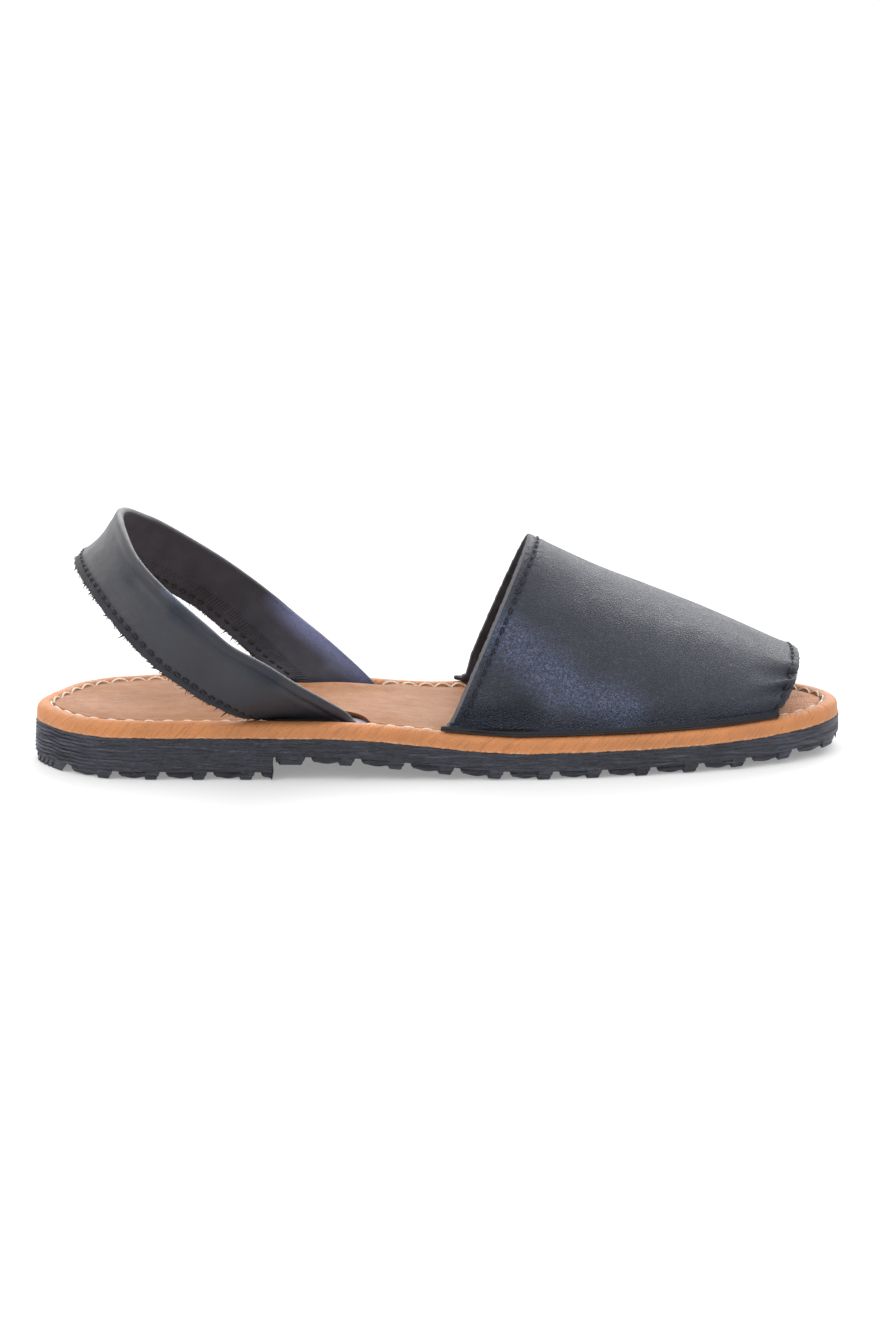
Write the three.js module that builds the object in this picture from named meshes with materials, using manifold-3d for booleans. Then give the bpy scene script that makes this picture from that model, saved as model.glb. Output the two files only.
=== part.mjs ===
// A slingback peep-toe sandal for the right foot, EU size 42, in millimetres.
// x runs from the heel to the toe, y towards the inner (medial) side, z up from the ground.
import * as THREE from "three";
import { mergeVertices } from "three/addons/utils/BufferGeometryUtils.js";
import Module from "manifold-3d";

const wasm = await Module();
wasm.setup();

// Sole outline
const soleLength = 281;
const lateralReach = 40; // outer side at the ball, from the line between heel and toe
const medialReach = 51.5; // inner side at the ball
const stations = 44; // sections along each layer of the sole

// Heights of the sole
const heelThickness = 14.6; // rubber under the heel, lugs included
const sheetThickness = 9.1; // rubber under shank and forefoot, lugs included
const heelLength = 82;
const archStart = 98; // where the sole begins to fall from the heel's level
const ballStart = 169; // where it reaches the ground
const springStart = 203; // where the toe begins to rise
const toeSpring = 3.2;

// Tread
const lugDepth = 2.8;
const heelPitch = 16.2; // from groove to groove under the heel
const forePitch = 16.9; // and in front of it
const grooveWidth = 3;
const firstGroove = 11.5; // from the back of the heel, and from its front face
const jogStart = 10; // a groove's slanting step begins this far out from the middle line
const jogEnd = 5.2; // and ends this far in
const sideStep = 1.1; // how far the long lugs stand back from the sole's edge
const lugStepRise = 0.3; // the step ends this far below the grooves' roof
const shortLug = 0.34; // share of a pitch that the flush lug takes
const breastSlope = 1.2; // how far the heel's front face leans

// Footbed: felt core, leather wrap around its edge, leather sock inside the seam
const clearance = 0.3;
const coreThickness = 3.2;
const wrapInset = 0.6; // wrap's face behind the rubber's edge
const wrapThickness = 1.3;
const wrapBulge = 0.15; // how far its side swells
const seamInset = 6.3; // from the rubber's edge to the wrap's inner edge
const crownHeight = 5.3; // top of the rolled edge above the rubber
const seamHeight = 4.6;
const sockThickness = 1.2;

// Half-moon slots that take the ends of the heel strap
const slotLength = 43;
const slotDepth = 12;
const lateralSlotMiddle = 96.5;
const medialSlotMiddle = 106;

// Vamp
const vampWall = 1.9;
const flangeThickness = 1.7;
const flangeInset = 1.7; // flange's outer edge from the rubber's edge
const vampInset = 4.4; // outer face of the wall at its foot
const flangeLead = 2.5; // how far the flange runs on past the throat
const throatLateral = 141.3; // foot of the throat edge on the outer side
const throatMedial = 150.7;
const throatCrest = 170.6; // top of the throat edge
const throatHeight = 74.8;
const toeLateral = 256.5;
const toeMedial = 259;
const toeCrest = 266;
const archFullness = 2.15; // 2 is an ellipse, more is squarer
const vampSections = 16;
const vampFacets = 22;

// Heel strap
const strapThickness = 2.8;
const strapFold = 1.3; // how far the folded upper edge rounds off
const strapBack = 15.5; // lower edge at the back, from the heel's end of the sole
const strapReach = 80; // from there to the front of the lower edge
const strapSpread = 45; // half the loop's width
const strapHeight = 69; // lower edge at the back
const strapSteps = 54;
const footPlay = 0.5; // between the strap and the wrap's edge, beyond the clearance

// Outline of the sole. length is a share of soleLength, the others of their reach.
const outline = [
  { length: 0, lateral: 0, medial: 0 },
  { length: 0.018, lateral: 0.33, medial: 0.285 },
  { length: 0.055, lateral: 0.62, medial: 0.56 },
  { length: 0.103, lateral: 0.765, medial: 0.69 },
  { length: 0.17, lateral: 0.815, medial: 0.728 },
  { length: 0.25, lateral: 0.85, medial: 0.695 },
  { length: 0.32, lateral: 0.9, medial: 0.65 },
  { length: 0.4, lateral: 0.94, medial: 0.615 },
  { length: 0.47, lateral: 0.957, medial: 0.642 },
  { length: 0.54, lateral: 0.98, medial: 0.76 },
  { length: 0.61, lateral: 1, medial: 0.9 },
  { length: 0.69, lateral: 0.968, medial: 1 },
  { length: 0.76, lateral: 0.908, medial: 0.975 },
  { length: 0.83, lateral: 0.825, medial: 0.878 },
  { length: 0.9, lateral: 0.68, medial: 0.715 },
  { length: 0.95, lateral: 0.505, medial: 0.5 },
  { length: 0.982, lateral: 0.32, medial: 0.295 },
  { length: 1, lateral: 0, medial: 0 },
];

// Height of the vamp's crest from throat to toe opening, as a share of throatHeight
const crest = [
  { along: 0, height: 1 },
  { along: 0.27, height: 0.822 },
  { along: 0.5, height: 0.694 },
  { along: 0.75, height: 0.559 },
  { along: 1, height: 0.421 },
];

// Route of the heel strap from the lateral slot round the heel to the medial slot.
// back, out and up are the lower edge and topBack, topOut and topUp the upper edge,
// as shares of strapReach, strapSpread and strapHeight.
const route = [
  { back: 0.694, out: -0.667, up: 0.319, topBack: 1.069, topOut: -0.733, topUp: 0.381 },
  { back: 0.602, out: -0.822, up: 0.391, topBack: 0.931, topOut: -0.9, topUp: 0.507 },
  { back: 0.519, out: -0.922, up: 0.457, topBack: 0.794, topOut: -1, topUp: 0.632 },
  { back: 0.419, out: -0.978, up: 0.548, topBack: 0.654, topOut: -1.033, topUp: 0.733 },
  { back: 0.339, out: -0.989, up: 0.62, topBack: 0.56, topOut: -1.04, topUp: 0.833 },
  { back: 0.179, out: -0.867, up: 0.801, topBack: 0.367, topOut: -0.911, topUp: 1.023 },
  { back: 0.086, out: -0.633, up: 0.916, topBack: 0.266, topOut: -0.7, topUp: 1.132 },
  { back: 0.025, out: -0.311, up: 0.977, topBack: 0.21, topOut: -0.367, topUp: 1.226 },
  { back: 0, out: 0, up: 1, topBack: 0.194, topOut: 0, topUp: 1.261 },
  { back: 0.025, out: 0.3, up: 0.988, topBack: 0.219, topOut: 0.256, topUp: 1.241 },
  { back: 0.081, out: 0.556, up: 0.939, topBack: 0.281, topOut: 0.456, topUp: 1.184 },
  { back: 0.169, out: 0.756, up: 0.867, topBack: 0.369, topOut: 0.667, topUp: 1.106 },
  { back: 0.408, out: 0.944, up: 0.69, topBack: 0.625, topOut: 0.916, topUp: 0.884 },
  { back: 0.528, out: 0.962, up: 0.592, topBack: 0.744, topOut: 0.958, topUp: 0.777 },
  { back: 0.633, out: 0.933, up: 0.489, topBack: 0.856, topOut: 0.96, topUp: 0.672 },
  { back: 0.725, out: 0.844, up: 0.403, topBack: 0.956, topOut: 0.922, topUp: 0.574 },
  { back: 0.8, out: 0.711, up: 0.342, topBack: 1.106, topOut: 0.744, topUp: 0.449 },
];

// Curves and profiles

const clamp01 = (value) => Math.min(Math.max(value, 0), 1);
const smooth = (share) => share * share * (3 - 2 * share);
const mix = (a, b, share) => a + (b - a) * share;

// A smooth curve through rows, with no overshoot between them
function through(xs, ys) {
  const slope = xs.slice(1).map((x, i) => (ys[i + 1] - ys[i]) / (x - xs[i]));
  const inner = slope.slice(1).map((s, i) => (s * slope[i] > 0 ? (2 * s * slope[i]) / (s + slope[i]) : 0));
  const tangent = [slope[0], ...inner, slope[slope.length - 1]];
  return (x) => {
    const at = xs.findIndex((edge) => x <= edge);
    const i = at < 0 ? xs.length - 2 : Math.max(at - 1, 0);
    const span = xs[i + 1] - xs[i];
    const t = clamp01((x - xs[i]) / span);
    const rise = smooth(t) * (ys[i + 1] - ys[i]);
    const start = t * (1 - t) * (1 - t) * span * tangent[i];
    const end = t * t * (1 - t) * span * tangent[i + 1];
    return ys[i] + rise + start - end;
  };
}

// The outline's rows are read against an angle, so that both of its ends come out round.
const turn = (length) => Math.acos(1 - 2 * clamp01(length)) / Math.PI;
const turns = outline.map((row) => turn(row.length));
const lateralCurve = through(turns, outline.map((row) => row.lateral));
const medialCurve = through(turns, outline.map((row) => row.medial));
const lateralAt = (x) => -lateralReach * lateralCurve(turn(x / soleLength));
const medialAt = (x) => medialReach * medialCurve(turn(x / soleLength));

const spring = (x) => toeSpring * clamp01((x - springStart) / (soleLength - springStart)) ** 2;
const archFall = (x) => 1 - smooth(clamp01((x - archStart) / (ballStart - archStart)));
// Underside of the rubber sheet, and of the whole sole with its heel
const sheetBottom = (x) => (heelThickness - sheetThickness) * archFall(x) + spring(x);
// Top of the rubber, which carries the footbed
const deck = (x) => sheetBottom(x) + sheetThickness;

// The outline as a closed run of points, heel, outer side, toe, inner side, moved in by inset
function edgeRun(inset) {
  const share = (i) => (1 - Math.cos((Math.PI * i) / stations)) / 2;
  const lengths = Array.from({ length: stations + 1 }, (_, i) => share(i) * soleLength);
  const outer = lengths.map((x) => [x, lateralAt(x)]);
  const inner = lengths.slice(1, -1).map((x) => [x, medialAt(x)]);
  const run = [...outer, ...inner.reverse()];
  return run.map(([x, y], i) => {
    const before = run[(i + run.length - 1) % run.length];
    const after = run[(i + 1) % run.length];
    const along = new THREE.Vector2(after[0] - before[0], after[1] - before[1]).normalize();
    return { x: x - along.y * inset, y: y + along.x * inset, base: x };
  });
}

// The side of the footbed at a length, moved in by inset: side is -1 outer, 1 inner
const sideAt = (x, side, inset) => (side < 0 ? lateralAt(x) + inset : medialAt(x) - inset);

// Solids

function solid(points, triangles) {
  const geometry = new THREE.BufferGeometry();
  const flat = points.flatMap((p) => [p.x, p.y, p.z]);
  geometry.setAttribute("position", new THREE.Float32BufferAttribute(flat, 3));
  geometry.setIndex(triangles.flat());
  return toSolid(geometry);
}

function toSolid(geometry) {
  const bare = geometry.clone();
  bare.deleteAttribute("normal");
  bare.deleteAttribute("uv");
  const merged = mergeVertices(bare, 1e-4);
  const triangles = new Uint32Array(merged.index.array);
  const mesh = { numProp: 3, vertProperties: merged.attributes.position.array, triVerts: triangles };
  return new wasm.Manifold(new wasm.Mesh(mesh));
}

function toGeometry(body) {
  const mesh = body.getMesh();
  const geometry = new THREE.BufferGeometry();
  geometry.setAttribute("position", new THREE.BufferAttribute(mesh.vertProperties, 3));
  geometry.setIndex(new THREE.BufferAttribute(mesh.triVerts, 1));
  geometry.computeVertexNormals();
  return geometry;
}

// A layer of the sole between two height profiles, cut off in front of end
function layer(inset, bottom, top, end = soleLength) {
  const run = edgeRun(inset);
  const count = run.length;
  const low = run.map((p) => new THREE.Vector3(p.x, p.y, bottom(p.base)));
  const high = run.map((p) => new THREE.Vector3(p.x, p.y, top(p.base)));
  const faces = [];
  for (let i = 0; i < count; i++) {
    const next = (i + 1) % count;
    faces.push([i, next, count + next], [i, count + next, count + i]);
  }
  const rung = (i) => [i, (count - i) % count];
  for (let i = 0; i < stations; i++) {
    const [a, b] = rung(i);
    const [c, d] = rung(i + 1);
    if (a !== b) faces.push([a, b, c], [count + a, count + c, count + b]);
    if (c !== d) faces.push([b, d, c], [count + b, count + c, count + d]);
  }
  const whole = solid([...low, ...high], faces);
  if (end >= soleLength) return whole;
  return whole.subtract(block(end, 2 * soleLength, -soleLength, soleLength, -soleLength, soleLength));
}

function block(x0, x1, y0, y1, z0, z1) {
  const box = new THREE.BoxGeometry(x1 - x0, y1 - y0, z1 - z0);
  box.translate((x0 + x1) / 2, (y0 + y1) / 2, (z0 + z1) / 2);
  return toSolid(box);
}

// An upright prism on a closed outline of [x, y] points
function prism(points, bottom, top) {
  const shape = new THREE.Shape(points.map(([x, y]) => new THREE.Vector2(x, y)));
  const geometry = new THREE.ExtrudeGeometry(shape, { depth: top - bottom, bevelEnabled: false });
  geometry.translate(0, 0, bottom);
  return toSolid(geometry);
}

// A body through closed rings of equal size, with its ends closed by closeEnd
function loft(rings, closeEnd) {
  const size = rings[0].length;
  const faces = [];
  for (let k = 0; k + 1 < rings.length; k++) {
    for (let j = 0; j < size; j++) {
      const a = k * size + j;
      const b = k * size + ((j + 1) % size);
      faces.push([a, b, b + size], [a, b + size, a + size]);
    }
  }
  const last = (rings.length - 1) * size;
  closeEnd(size).forEach(([a, b, c]) => faces.push([a, c, b], [last + a, last + b, last + c]));
  const body = solid(rings.flat(), faces);
  return body.volume() < 0 ? solid(rings.flat(), faces.map(([a, b, c]) => [a, c, b])) : body;
}

const fan = (size) => Array.from({ length: size - 2 }, (_, j) => [0, j + 1, j + 2]);
// A ring that runs out along one wall and back along the other is closed by its ladder of quads.
const ladder = (size) =>
  Array.from({ length: size / 2 - 1 }, (_, j) => [
    [j, j + 1, size - 2 - j],
    [j, size - 2 - j, size - 1 - j],
  ]).flat();

// Rubber outsole with its heel and tread

// One groove across the tread: straight at both sides, with a step of half a pitch between
function groove(x, pitch) {
  const far = soleLength / 2;
  const jog = pitch / 2;
  const line = [
    [x, -far],
    [x, -jogStart],
    [x + jog, jogEnd],
    [x + jog, far],
  ];
  const half = grooveWidth / 2;
  const front = line.map(([a, b]) => [a + half, b]);
  const back = line.map(([a, b]) => [a - half, b]).reverse();
  return prism([...front, ...back], -lugDepth, treadRoof(x + jog / 2));
}

const treadBottom = (x) => (x < heelLength ? 0 : sheetBottom(x));
const treadRoof = (x) => treadBottom(x) + lugDepth;

// The long lug between two grooves stands back from the sole's edge.
function lugStep(x, pitch, side) {
  const from = x + (side > 0 ? pitch / 2 : 0) + grooveWidth / 2;
  const to = from + (pitch - grooveWidth) * (1 - shortLug);
  const out = side * pitch;
  const a = [from, sideAt(from, side, sideStep)];
  const b = [to, sideAt(to, side, sideStep)];
  const ring = [a, b, [to, b[1] + out], [from, a[1] + out]];
  return prism(side > 0 ? ring : ring.reverse(), -lugDepth, treadRoof((from + to) / 2) - lugStepRise);
}

// Grooves between two places, with the lugs that fit whole
function tread(body, start, end, pitch) {
  let cut = body;
  for (let x = start + firstGroove; x + grooveWidth < end; x += pitch) {
    cut = cut.subtract(groove(x, pitch));
    if (x + 1.5 * pitch < end) cut = cut.subtract(lugStep(x, pitch, -1)).subtract(lugStep(x, pitch, 1));
  }
  return cut;
}

function outsole() {
  const sheet = layer(0, sheetBottom, deck);
  const heelTop = heelThickness - sheetThickness / 2;
  const heel = layer(0, () => 0, () => heelTop, heelLength);
  const front = [
    [heelLength - breastSlope, 0],
    [heelLength + breastSlope, 0],
    [heelLength, heelTop],
  ];
  const breast = prism(front, -soleLength, soleLength).rotate([90, 0, 0]);
  const heeled = tread(sheet.add(heel.subtract(breast)), 0, heelLength, heelPitch);
  return tread(heeled, heelLength, soleLength, forePitch);
}

// Felt core under the footbed, with a slit for each end of the strap
function midsole() {
  const bottom = (x) => deck(x) + clearance;
  const top = (x) => deck(x) + clearance + coreThickness;
  const core = layer(wrapInset + wrapThickness + clearance, bottom, top);
  return core.subtract(slit(lateralFoot, -1)).subtract(slit(medialFoot, 1));
}

// Leather wrap rolled over the core's edge: its section, inset from the rubber's edge
const wrapSection = [
  { inset: wrapInset, height: clearance },
  { inset: wrapInset - wrapBulge, height: 0.45 * crownHeight },
  { inset: wrapInset + 0.05 * seamInset, height: 0.8 * crownHeight },
  { inset: wrapInset + 0.22 * seamInset, height: 0.95 * crownHeight },
  { inset: 0.55 * seamInset, height: crownHeight },
  { inset: 0.8 * seamInset, height: 0.975 * crownHeight },
  { inset: seamInset, height: seamHeight },
  { inset: seamInset, height: coreThickness + 2 * clearance },
  { inset: wrapInset + wrapThickness, height: coreThickness + 2 * clearance },
  { inset: wrapInset + wrapThickness, height: clearance },
];

function edgeWrap() {
  const runs = wrapSection.map((row) => edgeRun(row.inset));
  const pointAt = ({ x, y, base }, height) => new THREE.Vector3(x, y, deck(base) + height);
  const rings = runs[0].map((_, i) => wrapSection.map((row, k) => pointAt(runs[k][i], row.height)));
  return loft([...rings, rings[0]], () => []);
}

// Leather sock inside the seam, with the two half-moon slots cut out of its edge
function halfMoon(middle, side) {
  const steps = 14;
  const half = slotLength / 2;
  const arc = Array.from({ length: steps + 1 }, (_, i) => {
    const angle = (Math.PI * i) / steps;
    const x = middle - half * Math.cos(angle);
    return [x, sideAt(x, side, seamInset + slotDepth * Math.sin(angle))];
  });
  const past = sideAt(middle, side, 0) * 2;
  const ring = [...arc, [middle + half, past], [middle - half, past]];
  return prism(side < 0 ? ring.reverse() : ring, 0, soleLength);
}

function sock() {
  const bottom = (x) => deck(x) + coreThickness + 2 * clearance;
  const top = (x) => bottom(x) + sockThickness;
  const whole = layer(seamInset + clearance, bottom, top);
  return whole.subtract(halfMoon(lateralSlotMiddle, -1)).subtract(halfMoon(medialSlotMiddle, 1));
}

// Vamp: one leather wall with a flange turned out along its foot

const crestCurve = through(
  crest.map((row) => row.along),
  crest.map((row) => row.height * throatHeight),
);

// One point of the vamp's inner face: along from throat to toe, across from outer to inner side
function vampPoint(along, across) {
  const lateralX = mix(throatLateral, toeLateral, along);
  const medialX = mix(throatMedial, toeMedial, along);
  const crestX = mix(throatCrest, toeCrest, along);
  const angle = Math.PI * across;
  const cosine = Math.cos(angle);
  const power = 2 / archFullness;
  const swing = Math.sign(cosine) * Math.abs(cosine) ** power;
  const lift = Math.abs(Math.sin(angle)) ** power;
  const share = (1 - swing) / 2;
  const footX = mix(lateralX, medialX, share);
  const x = footX + lift * (crestX - (lateralX + medialX) / 2);
  const y = mix(sideAt(lateralX, -1, vampInset), sideAt(medialX, 1, vampInset), share);
  const bottom = deck(footX) + crownHeight + clearance;
  return new THREE.Vector3(x, y, mix(bottom, crestCurve(along), lift));
}

function vampNormal(along, across) {
  const step = 0.004;
  const u0 = Math.max(along - step, 0);
  const u1 = Math.min(along + step, 1);
  const v0 = Math.max(across - step, 0);
  const v1 = Math.min(across + step, 1);
  const lengthwise = vampPoint(u1, across).sub(vampPoint(u0, across));
  const crosswise = vampPoint(along, v1).sub(vampPoint(along, v0));
  return lengthwise.cross(crosswise).normalize();
}

// One end of the flange, outer top, outer bottom and inner bottom, at one side of a section
function flangeEnd(along, side) {
  const footX = side < 0 ? mix(throatLateral, toeLateral, along) : mix(throatMedial, toeMedial, along);
  const x = footX - flangeLead * (1 - along) ** 6;
  const bottom = deck(x) + crownHeight + clearance;
  const outer = sideAt(x, side, flangeInset);
  const crease = sideAt(footX, side, vampInset);
  const heel = sideAt(footX, side, vampInset + vampWall);
  return {
    tipTop: new THREE.Vector3(x, outer, bottom + flangeThickness),
    tipBottom: new THREE.Vector3(x, outer, bottom),
    crease: new THREE.Vector3(footX, crease, bottom + flangeThickness),
    heel: new THREE.Vector3(footX, heel, bottom),
  };
}

function vamp() {
  const rings = Array.from({ length: vampSections + 1 }, (_, k) => {
    const along = k / vampSections;
    const lateral = flangeEnd(along, -1);
    const medial = flangeEnd(along, 1);
    const outer = [lateral.tipTop, lateral.crease];
    const inner = [lateral.tipBottom, lateral.heel];
    for (let j = 1; j < vampFacets; j++) {
      const point = vampPoint(along, j / vampFacets);
      outer.push(point.clone().addScaledVector(vampNormal(along, j / vampFacets), vampWall));
      inner.push(point);
    }
    outer.push(medial.crease, medial.tipTop);
    inner.push(medial.heel, medial.tipBottom);
    return [...outer, ...inner.reverse()];
  });
  return loft(rings, ladder);
}

// Heel strap: a folded band whose ends go down through the slots into the core

// One end of the strap in its slot: where its lower and upper edges stand, at the sock and at the deck
const lateralFoot = { side: -1, low: 77, high: 108.5, deepLow: 86, deepHigh: 116 };
const medialFoot = { side: 1, low: 86.5, high: 118, deepLow: 96, deepHigh: 124 };
const footInset = seamInset + clearance + strapThickness / 2 + footPlay;

const onFoot = (x, side, z) => new THREE.Vector3(x, sideAt(x, side, footInset), z);

function footRows(foot) {
  const depths = [3 * clearance, 0.5 * crownHeight, crownHeight + 2 * clearance];
  return depths.map((height, i) => {
    const share = i / (depths.length - 1);
    const ends = [mix(foot.deepLow, foot.low, share), mix(foot.deepHigh, foot.high, share)];
    return ends.map((x) => onFoot(x, foot.side, deck(x) + height));
  });
}

function slit(foot, side) {
  const half = strapThickness / 2 + clearance + footPlay;
  const ends = [foot.low - 2 * clearance, foot.deepHigh + 2 * clearance];
  const near = ends.map((x) => [x, sideAt(x, side, footInset - half)]);
  const far = ends.map((x) => [x, sideAt(x, side, footInset + half)]).reverse();
  const ring = [...near, ...far];
  return prism(side < 0 ? ring : ring.reverse(), 0, soleLength);
}

const routePoint = (back, out, up) =>
  new THREE.Vector3(strapBack + back * strapReach, out * strapSpread, up * strapHeight);

function strap() {
  const loop = route.map((row) => [
    routePoint(row.back, row.out, row.up),
    routePoint(row.topBack, row.topOut, row.topUp),
  ]);
  const rows = [...footRows(lateralFoot), ...loop, ...footRows(medialFoot).reverse()];
  const lower = new THREE.CatmullRomCurve3(rows.map((row) => row[0]), false, "centripetal");
  const upper = new THREE.CatmullRomCurve3(rows.map((row) => row[1]), false, "centripetal");
  const half = strapThickness / 2;
  const rings = Array.from({ length: strapSteps + 1 }, (_, i) => {
    const t = i / strapSteps;
    const low = lower.getPoint(t);
    const high = upper.getPoint(t);
    const width = high.clone().sub(low);
    const tangent = lower.getTangent(t).add(upper.getTangent(t));
    const out = tangent.cross(width).normalize();
    const fold = strapFold / width.length();
    const at = (share, offset) => low.clone().addScaledVector(width, share).addScaledVector(out, offset);
    return [
      at(0, -half),
      at(0, half),
      at(0.5, half),
      at(1 - fold, half),
      at(1, half / 2),
      at(1, -half / 2),
      at(1 - fold, -half),
      at(0.5, -half),
    ];
  });
  return loft(rings, fan);
}

// Assembly

const finishes = {
  rubber: new THREE.MeshStandardMaterial({ color: 0x2c2e36, roughness: 0.8, metalness: 0 }),
  felt: new THREE.MeshStandardMaterial({ color: 0xb9b8b8, roughness: 0.95, metalness: 0 }),
  tan: new THREE.MeshStandardMaterial({ color: 0xc68b59, roughness: 0.6, metalness: 0 }),
  insole: new THREE.MeshStandardMaterial({ color: 0xd2a07a, roughness: 0.75, metalness: 0 }),
  black: new THREE.MeshStandardMaterial({ color: 0x23252c, roughness: 0.4, metalness: 0 }),
};

const pieces = [
  ["outsole", outsole(), finishes.rubber],
  ["midsole_core", midsole(), finishes.felt],
  ["edge_wrap", edgeWrap(), finishes.tan],
  ["insole_sock", sock(), finishes.insole],
  ["vamp", vamp(), finishes.black],
  ["heel_strap", strap(), finishes.black],
];

const shoe = new THREE.Group();
for (const [name, body, finish] of pieces) {
  const mesh = new THREE.Mesh(toGeometry(body), finish);
  mesh.name = name;
  shoe.add(mesh);
}

// The part's origin is on the ground, under the middle of its box.
const box = new THREE.Box3().setFromObject(shoe);
const middle = box.getCenter(new THREE.Vector3());
shoe.position.set(-middle.x, -middle.y, -box.min.z);

const sandal = new THREE.Group();
sandal.add(shoe);

export default sandal;
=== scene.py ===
"""A slingback peep-toe sandal for the right foot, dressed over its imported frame."""

import math

import bmesh
import bpy
import numpy as np
from bpy.props import FloatProperty, FloatVectorProperty, IntProperty, PointerProperty
from bpy.types import Operator, Panel, PropertyGroup
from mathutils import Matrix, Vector


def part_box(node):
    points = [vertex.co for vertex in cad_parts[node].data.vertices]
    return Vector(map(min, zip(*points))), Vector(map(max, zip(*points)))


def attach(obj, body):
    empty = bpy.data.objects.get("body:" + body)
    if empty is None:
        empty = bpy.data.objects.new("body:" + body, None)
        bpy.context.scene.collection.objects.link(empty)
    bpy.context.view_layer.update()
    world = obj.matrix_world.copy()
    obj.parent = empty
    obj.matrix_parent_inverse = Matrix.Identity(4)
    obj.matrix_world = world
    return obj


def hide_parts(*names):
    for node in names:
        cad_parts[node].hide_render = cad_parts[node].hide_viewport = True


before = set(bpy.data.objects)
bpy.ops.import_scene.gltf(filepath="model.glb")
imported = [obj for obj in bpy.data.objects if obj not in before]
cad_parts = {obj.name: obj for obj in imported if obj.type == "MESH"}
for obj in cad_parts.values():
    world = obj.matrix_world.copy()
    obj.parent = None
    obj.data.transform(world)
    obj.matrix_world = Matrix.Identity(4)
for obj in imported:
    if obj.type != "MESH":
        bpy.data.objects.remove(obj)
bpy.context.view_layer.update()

bl_info = {
    "name": "Slingback Sandal",
    "version": (1, 0, 0),
    "blender": (4, 5, 0),
    "location": "3D View > Sidebar > Sandal",
    "description": "Builds the leather, rubber, felt and thread of a slingback sandal",
    "category": "Add Mesh",
}

# Shape, in millimetres, as in the part's source: x from heel to toe, y towards the inner side, z up
MM = 0.001
SOLE_LENGTH = 281
LATERAL_REACH = 40
MEDIAL_REACH = 51.5
HEEL_THICKNESS = 14.6
SHEET_THICKNESS = 9.1
HEEL_LENGTH = 82
ARCH_START = 98
BALL_START = 169
SPRING_START = 203
TOE_SPRING = 3.2
LUG_DEPTH = 2.8
HEEL_PITCH = 16.2
FORE_PITCH = 16.9
GROOVE_WIDTH = 3
FIRST_GROOVE = 11.5
JOG_START = 10
JOG_END = 5.2
SIDE_STEP = 1.1
SHORT_LUG = 0.34
BREAST_SLOPE = 1.2
CLEARANCE = 0.3
CORE_THICKNESS = 3.2
WRAP_INSET = 0.6
WRAP_THICKNESS = 1.3
SEAM_INSET = 6.3
CROWN_HEIGHT = 5.3
SOCK_THICKNESS = 1.2
SLOT_LENGTH = 43
SLOT_DEPTH = 12
SLOT_TRIM = 3.0
LATERAL_SLOT_MIDDLE = 96.5
MEDIAL_SLOT_MIDDLE = 106
VAMP_WALL = 1.9
FLANGE_THICKNESS = 1.7
FLANGE_INSET = 1.7
VAMP_INSET = 4.4
FLANGE_LEAD = 2.5
THROAT_LATERAL = 141.3
THROAT_MEDIAL = 150.7
THROAT_CREST = 170.6
THROAT_HEIGHT = 74.8
TOE_LATERAL = 256.5
TOE_MEDIAL = 259
TOE_CREST = 266
ARCH_FULLNESS = 2.15
STRAP_THICKNESS = 2.8
STRAP_BACK = 15.5
STRAP_REACH = 80
STRAP_SPREAD = 45
STRAP_HEIGHT = 69
FOOT_PLAY = 0.5

# Outline of the sole: share of its length, then of its reach on the outer and the inner side
OUTLINE = np.array([
    (0, 0, 0), (0.018, 0.33, 0.285), (0.055, 0.62, 0.56), (0.103, 0.765, 0.69), (0.17, 0.815, 0.728),
    (0.25, 0.85, 0.695), (0.32, 0.9, 0.65), (0.4, 0.94, 0.615), (0.47, 0.957, 0.642), (0.54, 0.98, 0.76),
    (0.61, 1, 0.9), (0.69, 0.968, 1), (0.76, 0.908, 0.975), (0.83, 0.825, 0.878), (0.9, 0.68, 0.715),
    (0.95, 0.505, 0.5), (0.982, 0.32, 0.295), (1, 0, 0),
])

# Height of the vamp's crest: share of the way from throat to toe, then of the throat's height
CREST = np.array([(0, 1), (0.27, 0.822), (0.5, 0.694), (0.75, 0.559), (1, 0.421)])

# Route of the heel strap: lower edge back, out, up, then upper edge back, out, up
ROUTE = np.array([
    (0.694, -0.667, 0.319, 1.069, -0.733, 0.381), (0.602, -0.822, 0.391, 0.931, -0.9, 0.507),
    (0.519, -0.922, 0.457, 0.794, -1, 0.632), (0.419, -0.978, 0.548, 0.654, -1.033, 0.733),
    (0.339, -0.989, 0.62, 0.56, -1.04, 0.833), (0.179, -0.867, 0.801, 0.367, -0.911, 1.023),
    (0.086, -0.633, 0.916, 0.266, -0.7, 1.132), (0.025, -0.311, 0.977, 0.21, -0.367, 1.226),
    (0, 0, 1, 0.194, 0, 1.261), (0.025, 0.3, 0.988, 0.219, 0.256, 1.241),
    (0.081, 0.556, 0.939, 0.281, 0.456, 1.184), (0.169, 0.756, 0.867, 0.369, 0.667, 1.106),
    (0.408, 0.944, 0.69, 0.625, 0.916, 0.884), (0.528, 0.962, 0.592, 0.744, 0.958, 0.777),
    (0.633, 0.933, 0.489, 0.856, 0.96, 0.672), (0.725, 0.844, 0.403, 0.956, 0.922, 0.574),
    (0.8, 0.711, 0.342, 1.106, 0.744, 0.449),
])

# The strap in each slot: side, lower and upper edge at the rubber, then at the sock
LATERAL_FOOT = (-1, (86, 116), (77, 108.5))
MEDIAL_FOOT = (1, (96, 124), (86.5, 118))

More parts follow.
